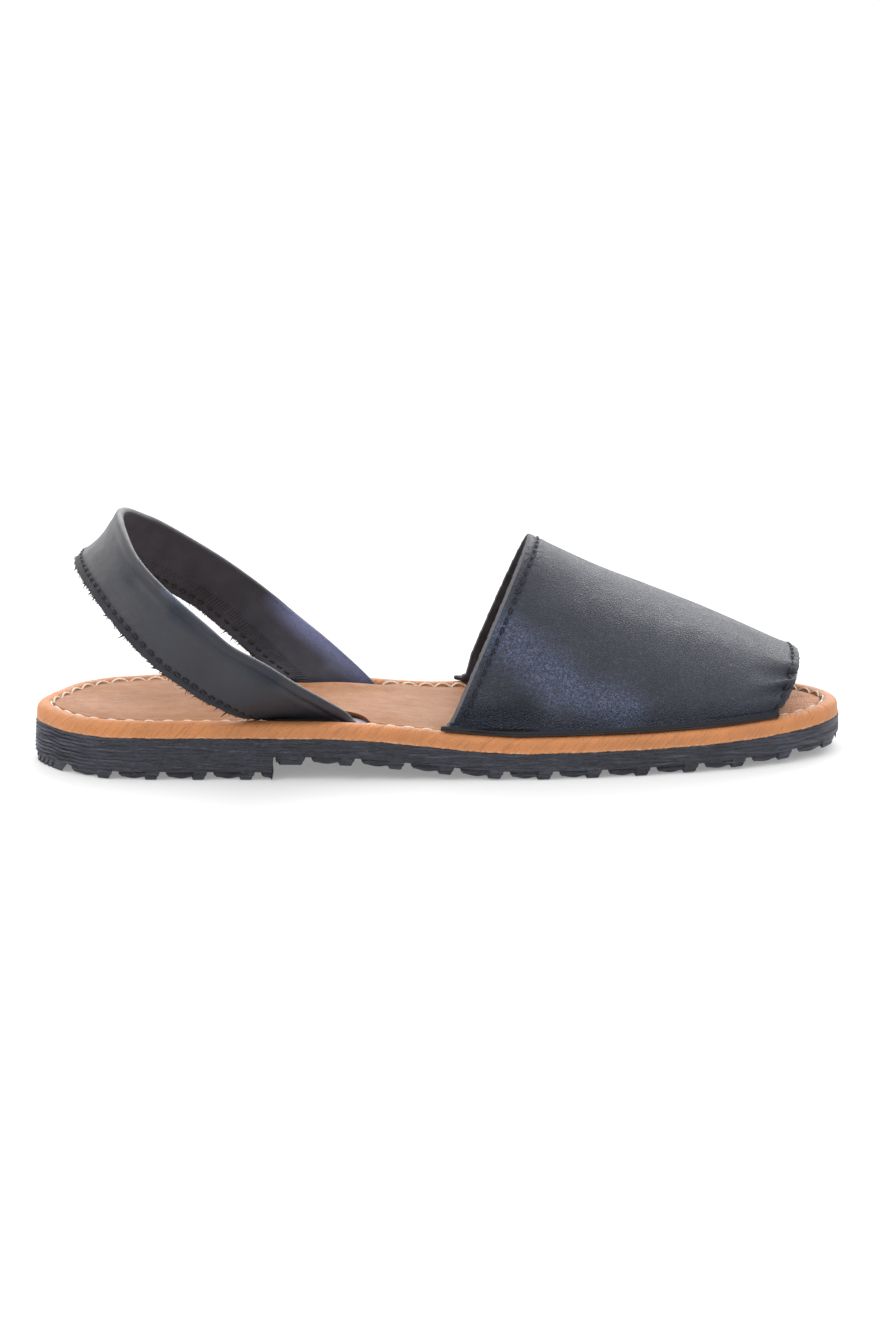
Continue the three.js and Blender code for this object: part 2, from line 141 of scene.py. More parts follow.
# Lug from its root down: gap added to the groove, inset, rounding, height over the tread's roof
LUG_LEVELS = (
    (-0.7, 0, 0, 0.6), (-0.5, 0, 0, -0.1), (-0.1, 0, 0, -0.45 * LUG_DEPTH),
    (0.2, 0, 0.1, 1.5 - LUG_DEPTH), (0.55, 0.1, 1.6, 0.5 - LUG_DEPTH), (0.95, 0.4, 3.6, -LUG_DEPTH),
)

# Rim's leather in section. Bottom: inset and height in mm. Side: mm past WRAP_INSET, share of the crown.
# Roll: share of the seam's inset, share of the crown.
WRAP_BOTTOM = [(WRAP_INSET + 0.1, 0.1), (0.12, -0.3), (0.05, -0.1), (0.2, 0.35)]
WRAP_SIDE = ((-0.1, 0.26), (-0.15, 0.45), (-0.05, 0.63), (0.3, 0.8), (0.8, 0.9), (1.5, 0.97), (2.4, 1.01))
WRAP_ROLL = (
    (0.6, 1.015), (0.7, 1), (0.79, 0.96), (0.87, 0.885), (0.94, 0.8), (1, 0.74), (1, 0.68), (0.5, 0.67),
)

# Creases across the rolled edge: share of the sole's length, side, slant, depth and width in millimetres
RIM_CREASES = (
    (0.012, 1, 0.2, 0.3, 0.7), (0.03, 1, 0.35, 0.22, 0.5), (0.045, -1, -0.2, 0.16, 0.5),
    (0.07, 1, 0.3, 0.18, 0.6), (0.16, -1, 0.3, 0.1, 0.4), (0.235, -1, 0.15, 0.2, 0.45),
    (0.251, -1, -0.25, 0.14, 0.4), (0.33, -1, 0.4, 0.1, 0.6), (0.44, -1, 0.6, 0.12, 0.5),
    (0.58, -1, 0.7, 0.12, 0.6), (0.66, -1, 0.5, 0.1, 0.4), (0.79, -1, 0.5, 0.12, 0.5),
    (0.88, -1, 0.4, 0.16, 0.5), (0.93, -1, 0.2, 0.2, 0.5), (0.957, -1, -0.2, 0.22, 0.5),
    (0.98, -1, 0.1, 0.2, 0.6), (0.996, 1, 0.2, 0.24, 0.6), (0.98, 1, 0.1, 0.26, 0.5),
    (0.955, 1, -0.2, 0.2, 0.5), (0.9, 1, 0.3, 0.16, 0.6),
)

# Folds at the toe opening: place across the vamp, its drift away from the edge, width and weight
TOE_FOLDS = (
    (0.185, -0.0042, 0.016, -0.8), (0.225, -0.0052, 0.017, 1.0), (0.275, -0.003, 0.02, -0.9),
    (0.335, -0.001, 0.026, 0.5), (0.12, -0.003, 0.018, 0.35), (0.77, 0.003, 0.022, -0.6),
    (0.82, 0.004, 0.02, 0.8), (0.87, 0.003, 0.02, -0.5),
)

# Faces of the vamp's flange from its tip: inset, then height above the rolled edge
FLANGE_OUTER = (
    (-0.12, 0.8), (0, 1.3), (0.35, 1.62), (1, 1.72), (1.7, 1.74), (2.15, 1.86), (2.45, 2.15), (2.62, 2.6),
)
FLANGE_INNER = ((-0.12, 0.8), (0, 0.3), (0.35, 0.04), (1.2, 0), (2.3, 0), (3.4, 0.05), (4.2, 0.4), (4.5, 1.2))

# Cut edge of two leaves laid together: share of the way over it, then how far it stands out
CUT_SHARES = (0.06, 0.2, 0.36, 0.46, 0.5, 0.54, 0.64, 0.8, 0.94)
CUT_HEIGHTS = (0.55, 0.95, 0.8, 0.35, -0.5, 0.35, 0.8, 0.95, 0.55)
EDGE_WAVES = ((23, 1), (51, 0.9), (79, 0.8))

# Painted sheen, painted highlight and painted shade on the black leather: reflections and shade painted into
# its colour, each a line between two places and its reach, in metres
# Painted reflection on the strap's lining, along its upper edge and near its base
LINING_PAINTED_SHEEN = (
    ((-0.055, 0.0436, 0.0440), (-0.026, 0.0243, 0.0205), 0.0075),
    ((-0.033, 0.0290, 0.0230), (-0.025, 0.0243, 0.0195), 0.0085),
)
# Painted highlight along the strap's fold
FOLD_PAINTED_HIGHLIGHT = (((-0.0935, -0.0435, 0.0687), (-0.079, -0.0475, 0.0568), 0.0034),)
# Painted shade under the strap's fold and at the back of the strap
FOLD_PAINTED_SHADE = (
    ((-0.091, -0.0465, 0.0625), (-0.059, -0.045, 0.0375), 0.0052),
    ((-0.1107, -0.0029, 0.083), (-0.1047, -0.0343, 0.0705), 0.0062),
)
# Painted reflection on the vamp's outer side: a blue glow with painted glints
VAMP_PAINTED_SHEEN = (
    ((0.0175, -0.033, 0.050), (0.040, -0.037, 0.032), 0.0125),
    ((0.040, -0.037, 0.032), (0.062, -0.0385, 0.0225), 0.011),
)
# Painted shade in the vamp's lower corner
VAMP_PAINTED_SHADE = (((0.006, -0.043, 0.020), (0.026, -0.042, 0.024), 0.0135),)

# How much of the strap is sewn, as shares of its run from slot to slot
STRAP_SPAN = (0.055, 0.945)

# Fibres on raw edges, finest first: spacing in metres, share of the fuzz length, thickness in metres
FIBRES = ((0.00035, 1.1, 0.0001), (0.0011, 1.9, 0.0002), (0.0034, 2.8, 0.0003), (0.0092, 3.6, 0.0004))

# The photograph's view as fitted: lens and height in pixels, angles in degrees, distance in metres
PHOTO_LENS = 4016
PHOTO_HEIGHT = 1321
AZIMUTH = -3.5
ELEVATION = 14.5
DISTANCE = 1.4
AIM = (140.7, 0, 32.3)


def length_of(name, description, value, least=0.0):
    return FloatProperty(name=name, description=description, default=value, min=least, unit="LENGTH")


def colour(name, description, value):
    return FloatVectorProperty(
        name=name, description=description, subtype="COLOR", size=3, min=0, max=1, default=value
    )


class SandalSizes(PropertyGroup):
    """Sizes of what is laid over the frame"""

    seam_pitch: length_of("Seam pitch", "Length of one stitch of the footbed seam", 0.0064, 0.002)
    seam_thread: length_of("Seam thread", "Thickness of the pale seam thread", 0.00068, 0.0002)
    seam_bow: length_of("Seam bow", "How far each stitch of the seam bulges outwards", 0.00065)
    top_pitch: length_of("Top stitch pitch", "Length of one stitch on vamp and strap", 0.0038, 0.001)
    top_thread: length_of("Top stitch thread", "Thickness of the black thread", 0.00095, 0.0002)
    throat_margin: length_of("Throat margin", "From the throat's edge to its stitching", 0.0035, 0.001)
    toe_margin: length_of("Toe margin", "From the toe opening's edge to its stitching", 0.0024, 0.001)
    strap_margin: length_of("Strap margin", "From the strap's lower edge to its stitching", 0.003, 0.001)
    pucker: length_of("Pucker", "Depth of the folds at the toe opening", 0.0013)
    rib_pitch: length_of("Rib pitch", "Height of one rib round the back of the heel", 0.0013, 0.0005)
    rib_depth: length_of("Rib depth", "Depth of the ribs round the back of the heel", 0.0009)
    slot_lift: length_of("Slot lift", "How far the sock humps up beside a slot", 0.0018)
    shoulder: length_of("Strap shoulder", "Height of the roll under the strap's fold", 0.0004)
    fuzz_length: length_of("Fuzz length", "Length of the fibres on raw edges", 0.0009)
    seed: IntProperty(name="Seed", description="Seed of all that is random", default=7, min=0)


class SandalColours(PropertyGroup):
    """Colours of the sandal's materials"""

    leather: colour("Black leather", "Outer face of the vamp", (0.030, 0.033, 0.049))
    strap: colour("Strap leather", "Outer face of the heel strap", (0.0195, 0.02, 0.026))
    # Colour of the painted sheen: the pearly leather's reflection and glints, painted into its colour where
    # light catches it
    sheen: colour("Blue sheen", "Pearly flecks on the black leather", (0.085, 0.105, 0.175))
    lining: colour("Lining", "Inner face of vamp and strap", (0.026, 0.0245, 0.0315))
    edge_tan: colour("Edge tan", "Leather wrapped round the footbed", (0.515, 0.201, 0.069))
    sock_tan: colour("Sock tan", "Leather under the foot", (0.352, 0.152, 0.057))
    sock_toe: colour("Sock at the toe", "Leather of the sock under the toes", (0.60, 0.25, 0.12))
    cut_edge: colour("Cut edge", "Raw edge of the tan leather", (0.16, 0.05, 0.022))
    felt: colour("Felt", "Core seen in the slots", (0.42, 0.39, 0.42))
    thread: colour("Seam thread", "Pale thread of the footbed seam", (0.8, 0.76, 0.68))
    rubber: colour("Rubber", "Outsole", (0.023, 0.024, 0.033))
    floor: colour("Floor", "Paper under the sandal", (0.58, 0.58, 0.58))


# Curves and profiles


def monotone(xs, ys):
    """A smooth curve through rows, with no overshoot between them."""
    slope = np.diff(ys) / np.diff(xs)
    product = slope[1:] * slope[:-1]
    total = np.where(product > 0, slope[1:] + slope[:-1], 1)
    inner = np.where(product > 0, 2 * product / total, 0)
    tangent = np.concatenate([slope[:1], inner, slope[-1:]])

    def curve(x):
        i = np.clip(np.searchsorted(xs, x, side="left") - 1, 0, len(xs) - 2)
        span = xs[i + 1] - xs[i]
        t = np.clip((x - xs[i]) / span, 0, 1)
        rise = smooth(t) * (ys[i + 1] - ys[i])
        return ys[i] + rise + t * (1 - t) * span * ((1 - t) * tangent[i] - t * tangent[i + 1])

    return curve


def smooth(t):
    t = np.clip(t, 0, 1)
    return t * t * (3 - 2 * t)


def mix(a, b, t):
    return a + (b - a) * t


def hill(x, middle, width):
    return np.exp(-(((x - middle) / width) ** 2))


def eased(count, start=0.0, stop=math.pi):
    """Shares from 0 to 1 that stand closer together at both ends."""
    return (1 - np.cos(np.linspace(start, stop, count))) / 2


def unit(rows):
    return rows / np.linalg.norm(rows, axis=-1, keepdims=True)


def run_lengths(points):
    """Length of a line up to each of its points."""
    return np.append(0, np.cumsum(np.linalg.norm(np.diff(points, axis=0), axis=1)))


def along_line(points, length, at):
    """Places on a line at given lengths."""
    return np.stack([np.interp(at, length, column) for column in points.T], 1)


def turn(share):
    return np.arccos(1 - 2 * np.clip(share, 0, 1)) / math.pi


lateral_curve = monotone(turn(OUTLINE[:, 0]), OUTLINE[:, 1])
medial_curve = monotone(turn(OUTLINE[:, 0]), OUTLINE[:, 2])
crest_curve = monotone(CREST[:, 0], CREST[:, 1] * THROAT_HEIGHT)


def side_at(x, side, inset=0):
    """The sole's edge at a place along it: side is -1 for the outer edge and 1 for the inner one."""
    share = turn(x / SOLE_LENGTH)
    if side < 0:
        return inset - LATERAL_REACH * lateral_curve(share)
    return MEDIAL_REACH * medial_curve(share) - inset


def sheet_bottom(x):
    spring = TOE_SPRING * np.clip((x - SPRING_START) / (SOLE_LENGTH - SPRING_START), 0, 1) ** 2
    fall = 1 - smooth((x - ARCH_START) / (BALL_START - ARCH_START))
    return (HEEL_THICKNESS - SHEET_THICKNESS) * fall + spring


def deck(x):
    return sheet_bottom(x) + SHEET_THICKNESS


def outline_run(count):
    """Even points round the sole from the heel by the outer side, their outward directions and lengths."""
    share = eased(1500) * SOLE_LENGTH
    outer, inner = (np.stack([share, side_at(share, side)], 1) for side in (-1, 1))
    run = np.concatenate([outer, inner[-2:0:-1], outer[:1]])
    length = run_lengths(run)
    at = np.linspace(0, length[-1], count, endpoint=False)
    ahead, behind = (along_line(run, length, (at + reach) % length[-1]) for reach in (3.0, -3.0))
    along = unit(ahead - behind)
    return along_line(run, length, at), np.stack([along[:, 1], -along[:, 0]], 1), at


def waver(s, seed, waves=((9, 1), (23, 0.6), (61, 0.35))):
    """A smooth random wave over a length, between about -1 and 1, that repeats each turn (0 to 1)."""
    rng = np.random.default_rng(seed)
    turns = [rng.uniform(0, 2 * math.pi) for _ in waves]
    swing = sum(w * np.sin(2 * math.pi * n * s + p) for (n, w), p in zip(waves, turns))
    return swing / sum(weight for _, weight in waves)


# Meshes

SHIFT = np.array([-SOLE_LENGTH / 2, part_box("outsole")[0].y / MM + LATERAL_REACH, 0])


def place(points):
    """Shoe coordinates in millimetres to the row's frame in metres."""
    return (np.asarray(points, float) + SHIFT) * MM


def linked(name, data):
    made = bpy.data.objects.new(name, data)
    bpy.context.collection.objects.link(made)
    return made


def new_piece(name, points, faces, materials, marks=None, uv=None):
    """A smooth mesh object from points in shoe millimetres. marks gives each face its material."""
    mesh = bpy.data.meshes.new(name)
    mesh.from_pydata(place(points).tolist(), [], faces)
    if uv is not None:
        mesh.uv_layers.new(name="Length").data.foreach_set("uv", uv.ravel())
    for material in materials:
        mesh.materials.append(material)
    if marks is not None:
        mesh.polygons.foreach_set("material_index", np.asarray(marks, dtype=np.int32))
    mesh.polygons.foreach_set("use_smooth", np.ones(len(mesh.polygons), dtype=bool))
    mesh.validate()
    work = bmesh.new()
    work.from_mesh(mesh)
    bmesh.ops.recalc_face_normals(work, faces=work.faces)
    work.to_mesh(mesh)
    work.free()
    mesh.update()
    return finish_piece(linked(name, mesh))


def finish_piece(piece):
    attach(piece, "root")
    return piece


def sharpen(piece, degrees):
    """Keeps edges steeper than an angle sharp under smooth shading."""
    work = bmesh.new()
    work.from_mesh(piece.data)
    limit = math.radians(degrees)
    for edge in work.edges:
        edge.smooth = not (edge.is_manifold and edge.calc_face_angle(0) > limit)
    work.to_mesh(piece.data)
    work.free()


def tube_faces(rows, columns, closed_rows=False):
    """Quads over a grid whose columns close on themselves, and each corner's (row, column)."""
    faces, corners = [], []
    for i in range(rows if closed_rows else rows - 1):
        for j in range(columns):
            four = [(i, j), (i + 1, j), (i + 1, j + 1), (i, j + 1)]
            faces.append(tuple(a % rows * columns + b % columns for a, b in four))
            corners += four
    return faces, corners


def cap_faces(count, start, flat=0):
    """Closes a ring from side to side. flat is 1 where the ring starts and ends at the two ends of a cut."""
    faces = []
    for i in range(count // 2 - flat):
        four = (i, i + 1, count - i - 1 - flat, (count - i - flat) % count)
        faces.append(tuple(start + q for q in dict.fromkeys(four)))
    return faces


def shifted(faces, start):
    return [tuple(start + q for q in face) for face in faces]


def shell(rings, length, start=0):
    """A closed body from stacked rings, as faces and their map by length and height."""
    count = len(rings[0])
    flat = np.concatenate(rings)
    walls, corners = tube_faces(len(rings), count)
    around = np.append(length, length[-1] + length[1] - length[0])
    uv = [(around[j], rings[i][j % count, 2]) for i, j in corners]
    caps = cap_faces(count, 0) + cap_faces(count, len(flat) - count)
    uv += [tuple(flat[q, :2]) for cap in caps for q in cap]
    return shifted(walls + caps, start), np.array(uv) * MM


# Node trees


class Nodes:
    """Adds linked nodes to one tree"""

    def __init__(self, tree):
        self.tree = tree

    def __call__(self, kind, links=None, out=0, **settings):
        """One node with its inputs linked or set. Gives one output, or the node itself if out is None."""
        made = self.tree.nodes.new(kind)
        for key, value in settings.items():
            setattr(made, key, value)
        for key, value in (links or {}).items():
            self.feed(made.inputs[key], value)
        return made if out is None else made.outputs[out]

    def feed(self, socket, value):
        if isinstance(value, bpy.types.NodeSocket):
            self.tree.links.new(value, socket)
        else:
            socket.default_value = (*value[:3], 1) if socket.type == "RGBA" else value

    def maths(self, operation, a, b=0.0, clamp=False):
        return self("ShaderNodeMath", {0: a, 1: b}, operation=operation, use_clamp=clamp)

    def times(self, a, b, clamp=False):
        return self.maths("MULTIPLY", a, b, clamp)

    def plus(self, a, b):
        return self.maths("ADD", a, b)

    def vectors(self, operation, a, b=None, scale=None):
        """One vector maths node. A dot product or a length comes out as a number."""
        links = {key: value for key, value in ((0, a), (1, b), ("Scale", scale)) if value is not None}
        out = "Value" if operation in ("DOT_PRODUCT", "LENGTH") else "Vector"
        return self("ShaderNodeVectorMath", links, out, operation=operation)

    def split(self, vector):
        return self("ShaderNodeSeparateXYZ", {0: vector}, None).outputs

    def joined(self, x=0.0, y=0.0, z=0.0):
        return self("ShaderNodeCombineXYZ", {0: x, 1: y, 2: z})

    def ranged(self, value, low, high, to_low=0.0, to_high=1.0):
        links = {"Value": value, "From Min": low, "From Max": high, "To Min": to_low, "To Max": to_high}
        return self("ShaderNodeMapRange", links, "Result")

    def noise(self, vector, scale, detail=2.0, roughness=0.5):
        links = {"Vector": vector, "Scale": scale, "Detail": detail, "Roughness": roughness}
        return self("ShaderNodeTexNoise", links, "Fac")

    def red(self, value):
        return self("ShaderNodeSeparateColor", {0: value})

    def blend(self, factor, a, b):
        """Mixes two colours."""
        return self("ShaderNodeMix", {"Factor": factor, 6: a, 7: b}, 2, data_type="RGBA")

    def layers(self, base, *rows):
        """Lays colours over a base, each by its mask."""
        for factor, tone in rows:
            base = self.blend(factor, base, tone)
        return base

    def use(self, name, vector, **values):
        """The outputs of one of the shared groups."""
        return self("ShaderNodeGroup", {"Vector": vector, **values}, None, node_tree=shared(name)).outputs

    def glow(self, where, bands):
        """The strongest of several soft bands, each 1 on its line and 0 at its reach."""
        mask = 0.0
        for start, end, reach in bands:
            line = Vector(end) - Vector(start)
            from_start = self.vectors("SUBTRACT", where, start)
            passed = self.vectors("DOT_PRODUCT", from_start, tuple(line))
            share = self.maths("DIVIDE", passed, line.length_squared, True)
            off = self.vectors("SUBTRACT", from_start, self.vectors("SCALE", tuple(line), scale=share))
            near = self.ranged(self.vectors("LENGTH", off), reach, 0.0)
            mask = self.maths("MAXIMUM", mask, self.maths("POWER", near, 1.5))
        return mask


class Look(Nodes):
    """A material in the making: its nodes and what its Principled shader gets"""

    def __init__(self, name, specular):
        self.made = bpy.data.materials.new(name)
        self.made.use_nodes = True
        super().__init__(self.made.node_tree)
        self.shader = self.tree.nodes["Principled BSDF"].inputs
        self.shader["Specular IOR Level"].default_value = specular
        self.where = self("ShaderNodeTexCoord", out="Object")
        self.bump = None

    def length_map(self):
        return self("ShaderNodeUVMap", uv_map="Length")

    def relief(self, height, distance, strength=1.0):
        """Bump, laid over the bump that is there."""
        links = {"Height": height, "Distance": distance, "Strength": strength}
        if self.bump is not None:
            links["Normal"] = self.bump
        self.bump = self("ShaderNodeBump", links)

    def done(self, base, roughness):
        self.feed(self.shader["Base Color"], base)
        self.feed(self.shader["Roughness"], roughness)
        if self.bump is not None:
            self.feed(self.shader["Normal"], self.bump)
        return self.made


def group(name, kind, inputs, outputs):
    """An empty group with named sockets: its nodes, what it is given and where its results go."""
    tree = bpy.data.node_groups.new(name, kind)
    for label, (socket_kind, value) in inputs.items():
        socket = tree.interface.new_socket(label, in_out="INPUT", socket_type="NodeSocket" + socket_kind)
        if value is not None:
            socket.default_value = value
    for label, socket_kind in outputs.items():
        tree.interface.new_socket(label, in_out="OUTPUT", socket_type="NodeSocket" + socket_kind)
    n = Nodes(tree)
    return n, n("NodeGroupInput", out=None).outputs, n("NodeGroupOutput", out=None).inputs


def shader_group(name, first, second, *outputs):
    """A shader group that reads a place and two numbers."""
    inputs = {"Vector": ("Vector", None), first[0]: ("Float", first[1]), second[0]: ("Float", second[1])}
    n, given, out = group(name, "ShaderNodeTree", inputs, {label: "Float" for label in outputs})
    return n, given[0], given[1], given[2], out


def grain_group():
    """Pebbled leather grain: raised cells with fine creases between them."""
    sockets = (("Scale", 1300.0), ("Softness", 0.3), "Height", "Flecks")
    n, where, scale, softness, out = shader_group("Leather grain", *sockets)
    loose = n("ShaderNodeTexNoise", {"Vector": where, "Scale": n.times(scale, 0.6)}, "Color")
    push = n.vectors("SUBTRACT", loose, (0.5, 0.5, 0.5))
    push = n.vectors("SCALE", push, scale=n.maths("DIVIDE", 0.9, scale))
    cell_at = n.vectors("ADD", where, push)
    links = {"Vector": cell_at, "Scale": scale}
    creases = n("ShaderNodeTexVoronoi", links, "Distance", feature="DISTANCE_TO_EDGE")
    plateau = n.ranged(creases, 0.0, softness)
    spots = n("ShaderNodeTexVoronoi", {"Vector": cell_at, "Scale": n.times(scale, 1.8)}, "Color")
    fine = n.noise(where, n.times(scale, 2.2), 3.0)
    n.feed(out[0], n.plus(n.times(plateau, 0.7), n.times(fine, 0.5)))
    n.feed(out[1], n.red(spots))
    return n.tree


def specks_group():
    """Small scattered spots, such as pores, pits and dust."""
    n, where, scale, amount, out = shader_group("Specks", ("Scale", 400.0), ("Amount", 0.12), "Mask")
    cells = n("ShaderNodeTexVoronoi", {"Vector": where, "Scale": scale}, None).outputs
    chosen = n.maths("LESS_THAN", n.red(cells["Color"]), amount)
    n.feed(out[0], n.times(n.ranged(cells["Distance"], 0.28, 0.1), chosen))
    return n.tree


def streaks_group():
    """Ragged streaks along the first axis, such as the lines along the rubber and drawn grain on leather."""
    n, where, along, across, out = shader_group("Streaks", ("Along", 60.0), ("Across", 1500.0), "Lines")
    stretched = n.vectors("MULTIPLY", where, n.joined(along, across, across))
    links = {"Vector": stretched, "Scale": 1.0, "Detail": 4.0, "Roughness": 0.6, "Distortion": 0.6}
    n.feed(out[0], n("ShaderNodeTexNoise", links, "Fac"))
    return n.tree


GROUPS = {}


def shared(name):
    makers = {"grain": grain_group, "specks": specks_group, "streaks": streaks_group}
    if name not in GROUPS:
        GROUPS[name] = makers[name]()
    return GROUPS[name]


# Materials


def tint(tone, *shares):
    """A colour times a share, or times one share for each channel."""
    return [c * k for c, k in zip(tone, shares * 3 if len(shares) == 1 else shares)]


def black_leather(colours, tone, name, scale, depth, painted_sheens, painted_shades, roughness, rough_below=0.0):
    """Black leather with fine grain, bands of painted sheen with painted glints on its flecks, bands of
    painted shade and, on the strap, a napped lower edge.
    """
    look = Look(name, 0.42)
    where = look.where
    grain = look.use("grain", where, Scale=scale, Softness=0.35)
    broad = look.noise(where, 45.0, 3.0)
    # Painted reflection: where the sheen bands fall, with painted glints on the grain's flecks
    mask = look.times(look.glow(where, painted_sheens), look.ranged(broad, 0.25, 0.6, 0.7, 1.6), True)
    painted_glints = look.times(look.ranged(mask, 0.0, 0.8), look.ranged(grain["Flecks"], 0.2, 1.0))
    dust = look.use("specks", where, Scale=420.0, Amount=0.008)[0]
    base = look.layers(
        look.blend(look.ranged(broad, 0.35, 0.7), tone, tint(tone, 1.4)),
        # Painted shade, then the painted sheen's glow and its painted glints, then dust
        (look.times(look.glow(where, painted_shades), 1.6, True), (0.0045, 0.008, 0.020)),
        (look.ranged(mask, 0.0, 0.7, 0.0, 0.9), tint(colours.sheen, 0.4)),
        (painted_glints, tint(colours.sheen, 1.2)),
        (look.times(dust, 0.2), (0.3, 0.3, 0.31)),
    )
    rough = look.ranged(look.noise(where, 160.0, 3.0), 0.3, 0.7, roughness - 0.05, roughness + 0.07)
    rough = look.maths("SUBTRACT", rough, look.times(painted_glints, 0.12))
    look.relief(look.noise(where, 120.0, 3.0), 0.0006, 0.5)
    look.relief(grain["Height"], depth, 0.8)
    if rough_below:
        rise = look.split(look.length_map())[1]
        napped = look.ranged(rise, rough_below + 0.0004, rough_below - 0.0004)
        rough = look.plus(rough, look.times(napped, 0.3))
        look.relief(look.times(look.noise(where, 1100.0, 4.0, 0.7), napped), 0.0009)
    return look.done(base, rough)


def lining_leather(colours, name, fuzz, painted_sheens=()):
    """Dark inner face: napped suede or, given sheen bands, smooth leather with painted sheen (painted
    reflection) and wrinkles above its stitching.
    """
    look = Look(name, 0.35)
    nap = look.noise(look.where, 1900.0, 4.0, 0.7)
    broad = look.noise(look.where, 90.0, 3.0)
    base = look.blend(look.ranged(broad, 0.3, 0.7), colours.lining, tint(colours.lining, 1.9))
    base = look.blend(look.ranged(nap, 0.5, 0.8, 0.0, fuzz), base, (0.09, 0.085, 0.09))
    rough = look.ranged(nap, 0.3, 0.7, 0.62, 0.85)
    look.relief(nap, 0.00035, 0.8)
    if painted_sheens:
        # Painted reflection: bluish sheen painted into the colour along the given bands
        mask = look.times(look.glow(look.where, painted_sheens), look.ranged(nap, 0.3, 0.6, 0.35, 1.0), True)
        base = look.blend(mask, base, tint(colours.sheen, 2.4, 2.1, 2.5))
        rough = look.maths("SUBTRACT", rough, look.times(mask, 0.3))
        along, rise, _ = look.split(look.length_map())
        links = {"Vector": look.joined(along, look.times(rise, 0.25)), "Scale": 262.0}
        links |= {"Distortion": 3.0, "Detail": 1.0}
        wrinkles = look("ShaderNodeTexWave", links, "Fac")
        sewn = look.times(look.ranged(rise, 0.0042, 0.0054), look.ranged(rise, 0.009, 0.0078))
        look.relief(look.times(wrinkles, sewn), 0.00035, 0.9)
    return look.done(base, rough)


def tan_leather(tan, cut):
    """Vegetable-tanned leather of the rolled edge, creased across with painted shade in its creases, and
    stained along its lower cut.
    """
    look = Look("edge_tan", 0.45)
    where = look.where
    along, rise, _ = look.split(look.length_map())
    slant = look.maths("SUBTRACT", along, look.times(rise, 0.9))
    creases = look.use("streaks", look.joined(rise, slant), Along=130.0, Across=620.0)[0]
    broad = look.noise(where, 55.0, 4.0, 0.6)
    grain = look.use("grain", where, Scale=1100.0, Softness=0.2)[0]
    pits = look.use("specks", where, Scale=170.0, Amount=0.035)[0]
    torn = look.ranged(look.noise(where, 700.0, 3.0, 0.7), 0.45, 0.6)
    skirt = look.times(look.ranged(rise, 0.0013, 0.0009), torn)
    base = look.layers(
        look.blend(look.ranged(broad, 0.3, 0.72), tint(tan, 0.84), tint(tan, 1.14)),
        # Painted shade in the creases' valleys
        (look.ranged(creases, 0.5, 0.3, 0.0, 0.55), tint(tan, 0.6)),
        (look.ranged(grain, 0.5, 0.2, 0.0, 0.3), tint(tan, 0.7)),
        (look.times(pits, 0.75), cut),
        (look.times(skirt, 0.6), (0.6, 0.42, 0.28)),
    )
    look.relief(creases, 0.0009, 0.7)
    look.relief(grain, 0.00012, 0.7)
    return look.done(base, look.ranged(broad, 0.3, 0.7, 0.46, 0.6))


def sock_leather(tan, toe_tan):
    """Pale tan leather under the foot, redder and pebbled at the toe."""
    look = Look("sock_tan", 0.35)
    where = look.where
    toe = look.ranged(look.split(where)[0], 0.085, 0.115)
    drawn = look.use("streaks", where, Along=70.0, Across=420.0)[0]
    broad = look.noise(where, 38.0, 4.0, 0.6)
    cloudy = look.noise(where, 210.0, 5.0, 0.7)
    grain = look.use("grain", where, Scale=900.0, Softness=0.22)[0]
    specks = look.use("specks", where, Scale=360.0, Amount=0.13)[0]
    base = look.layers(
        look.blend(toe, tan, toe_tan),
        (look.ranged(broad, 0.35, 0.7, 0.0, 0.7), tint(tan, 0.74)),
        (look.ranged(drawn, 0.55, 0.33, 0.0, 0.6), tint(tan, 0.68)),
        (look.ranged(cloudy, 0.5, 0.36, 0.0, 0.8), tint(tan, 0.8, 0.68, 0.6)),
        (look.ranged(cloudy, 0.54, 0.7, 0.0, 0.5), tint(tan, 1.25, 1.32, 1.3)),
        (look.times(specks, 0.5), tint(tan, 0.42)),
        (look.ranged(grain, 0.45, 0.2, 0.0, 0.35), tint(tan, 0.62)),
    )
    look.relief(broad, 0.0012, 0.4)
    look.relief(look.times(grain, look.ranged(toe, 0.0, 1.0, 0.6, 1.6)), 0.0002, 0.8)
    return look.done(base, look.ranged(broad, 0.3, 0.7, 0.58, 0.72))


def fibrous(name, specular, value, scale, detail, rough_share, dark, pale, roughness, distance, strength):
    """Plain stuff with one noise for its tone and its relief."""
    look = Look(name, specular)
    fibres = look.noise(look.where, scale, detail, rough_share)
    look.relief(fibres, distance, strength)
    top = [min(c, 1) for c in tint(value, pale)]
    return look.done(look.blend(fibres, tint(value, dark), top), roughness)


def raw_edge(name, value):
    """The cut side of a piece of leather, rough and fibrous."""
    return fibrous(name, 0.25, value, 2300.0, 4.0, 0.7, 0.5, 1.7, 0.85, 0.0004, 0.9)


def thread_material(name, value, roughness):
    """Twisted thread."""
    return fibrous(name, 0.4, value, 2600.0, 2.0, 0.6, 0.6, 1.25, roughness, 0.0002, 0.8)


def felt_fabric(felt):
    """Pressed grey felt of the core."""
    look = Look("felt_core", 0.2)
    fibres = look.use("streaks", look.where, Along=500.0, Across=1700.0)[0]
    clouds = look.noise(look.where, 160.0, 5.0, 0.7)
    base = look.blend(clouds, tint(felt, 0.75), tint(felt, 1.25))
    base = look.blend(look.ranged(fibres, 0.5, 0.8, 0.0, 0.6), base, (0.75, 0.73, 0.76))
    look.relief(fibres, 0.0004, 0.9)
    return look.done(base, 0.95)


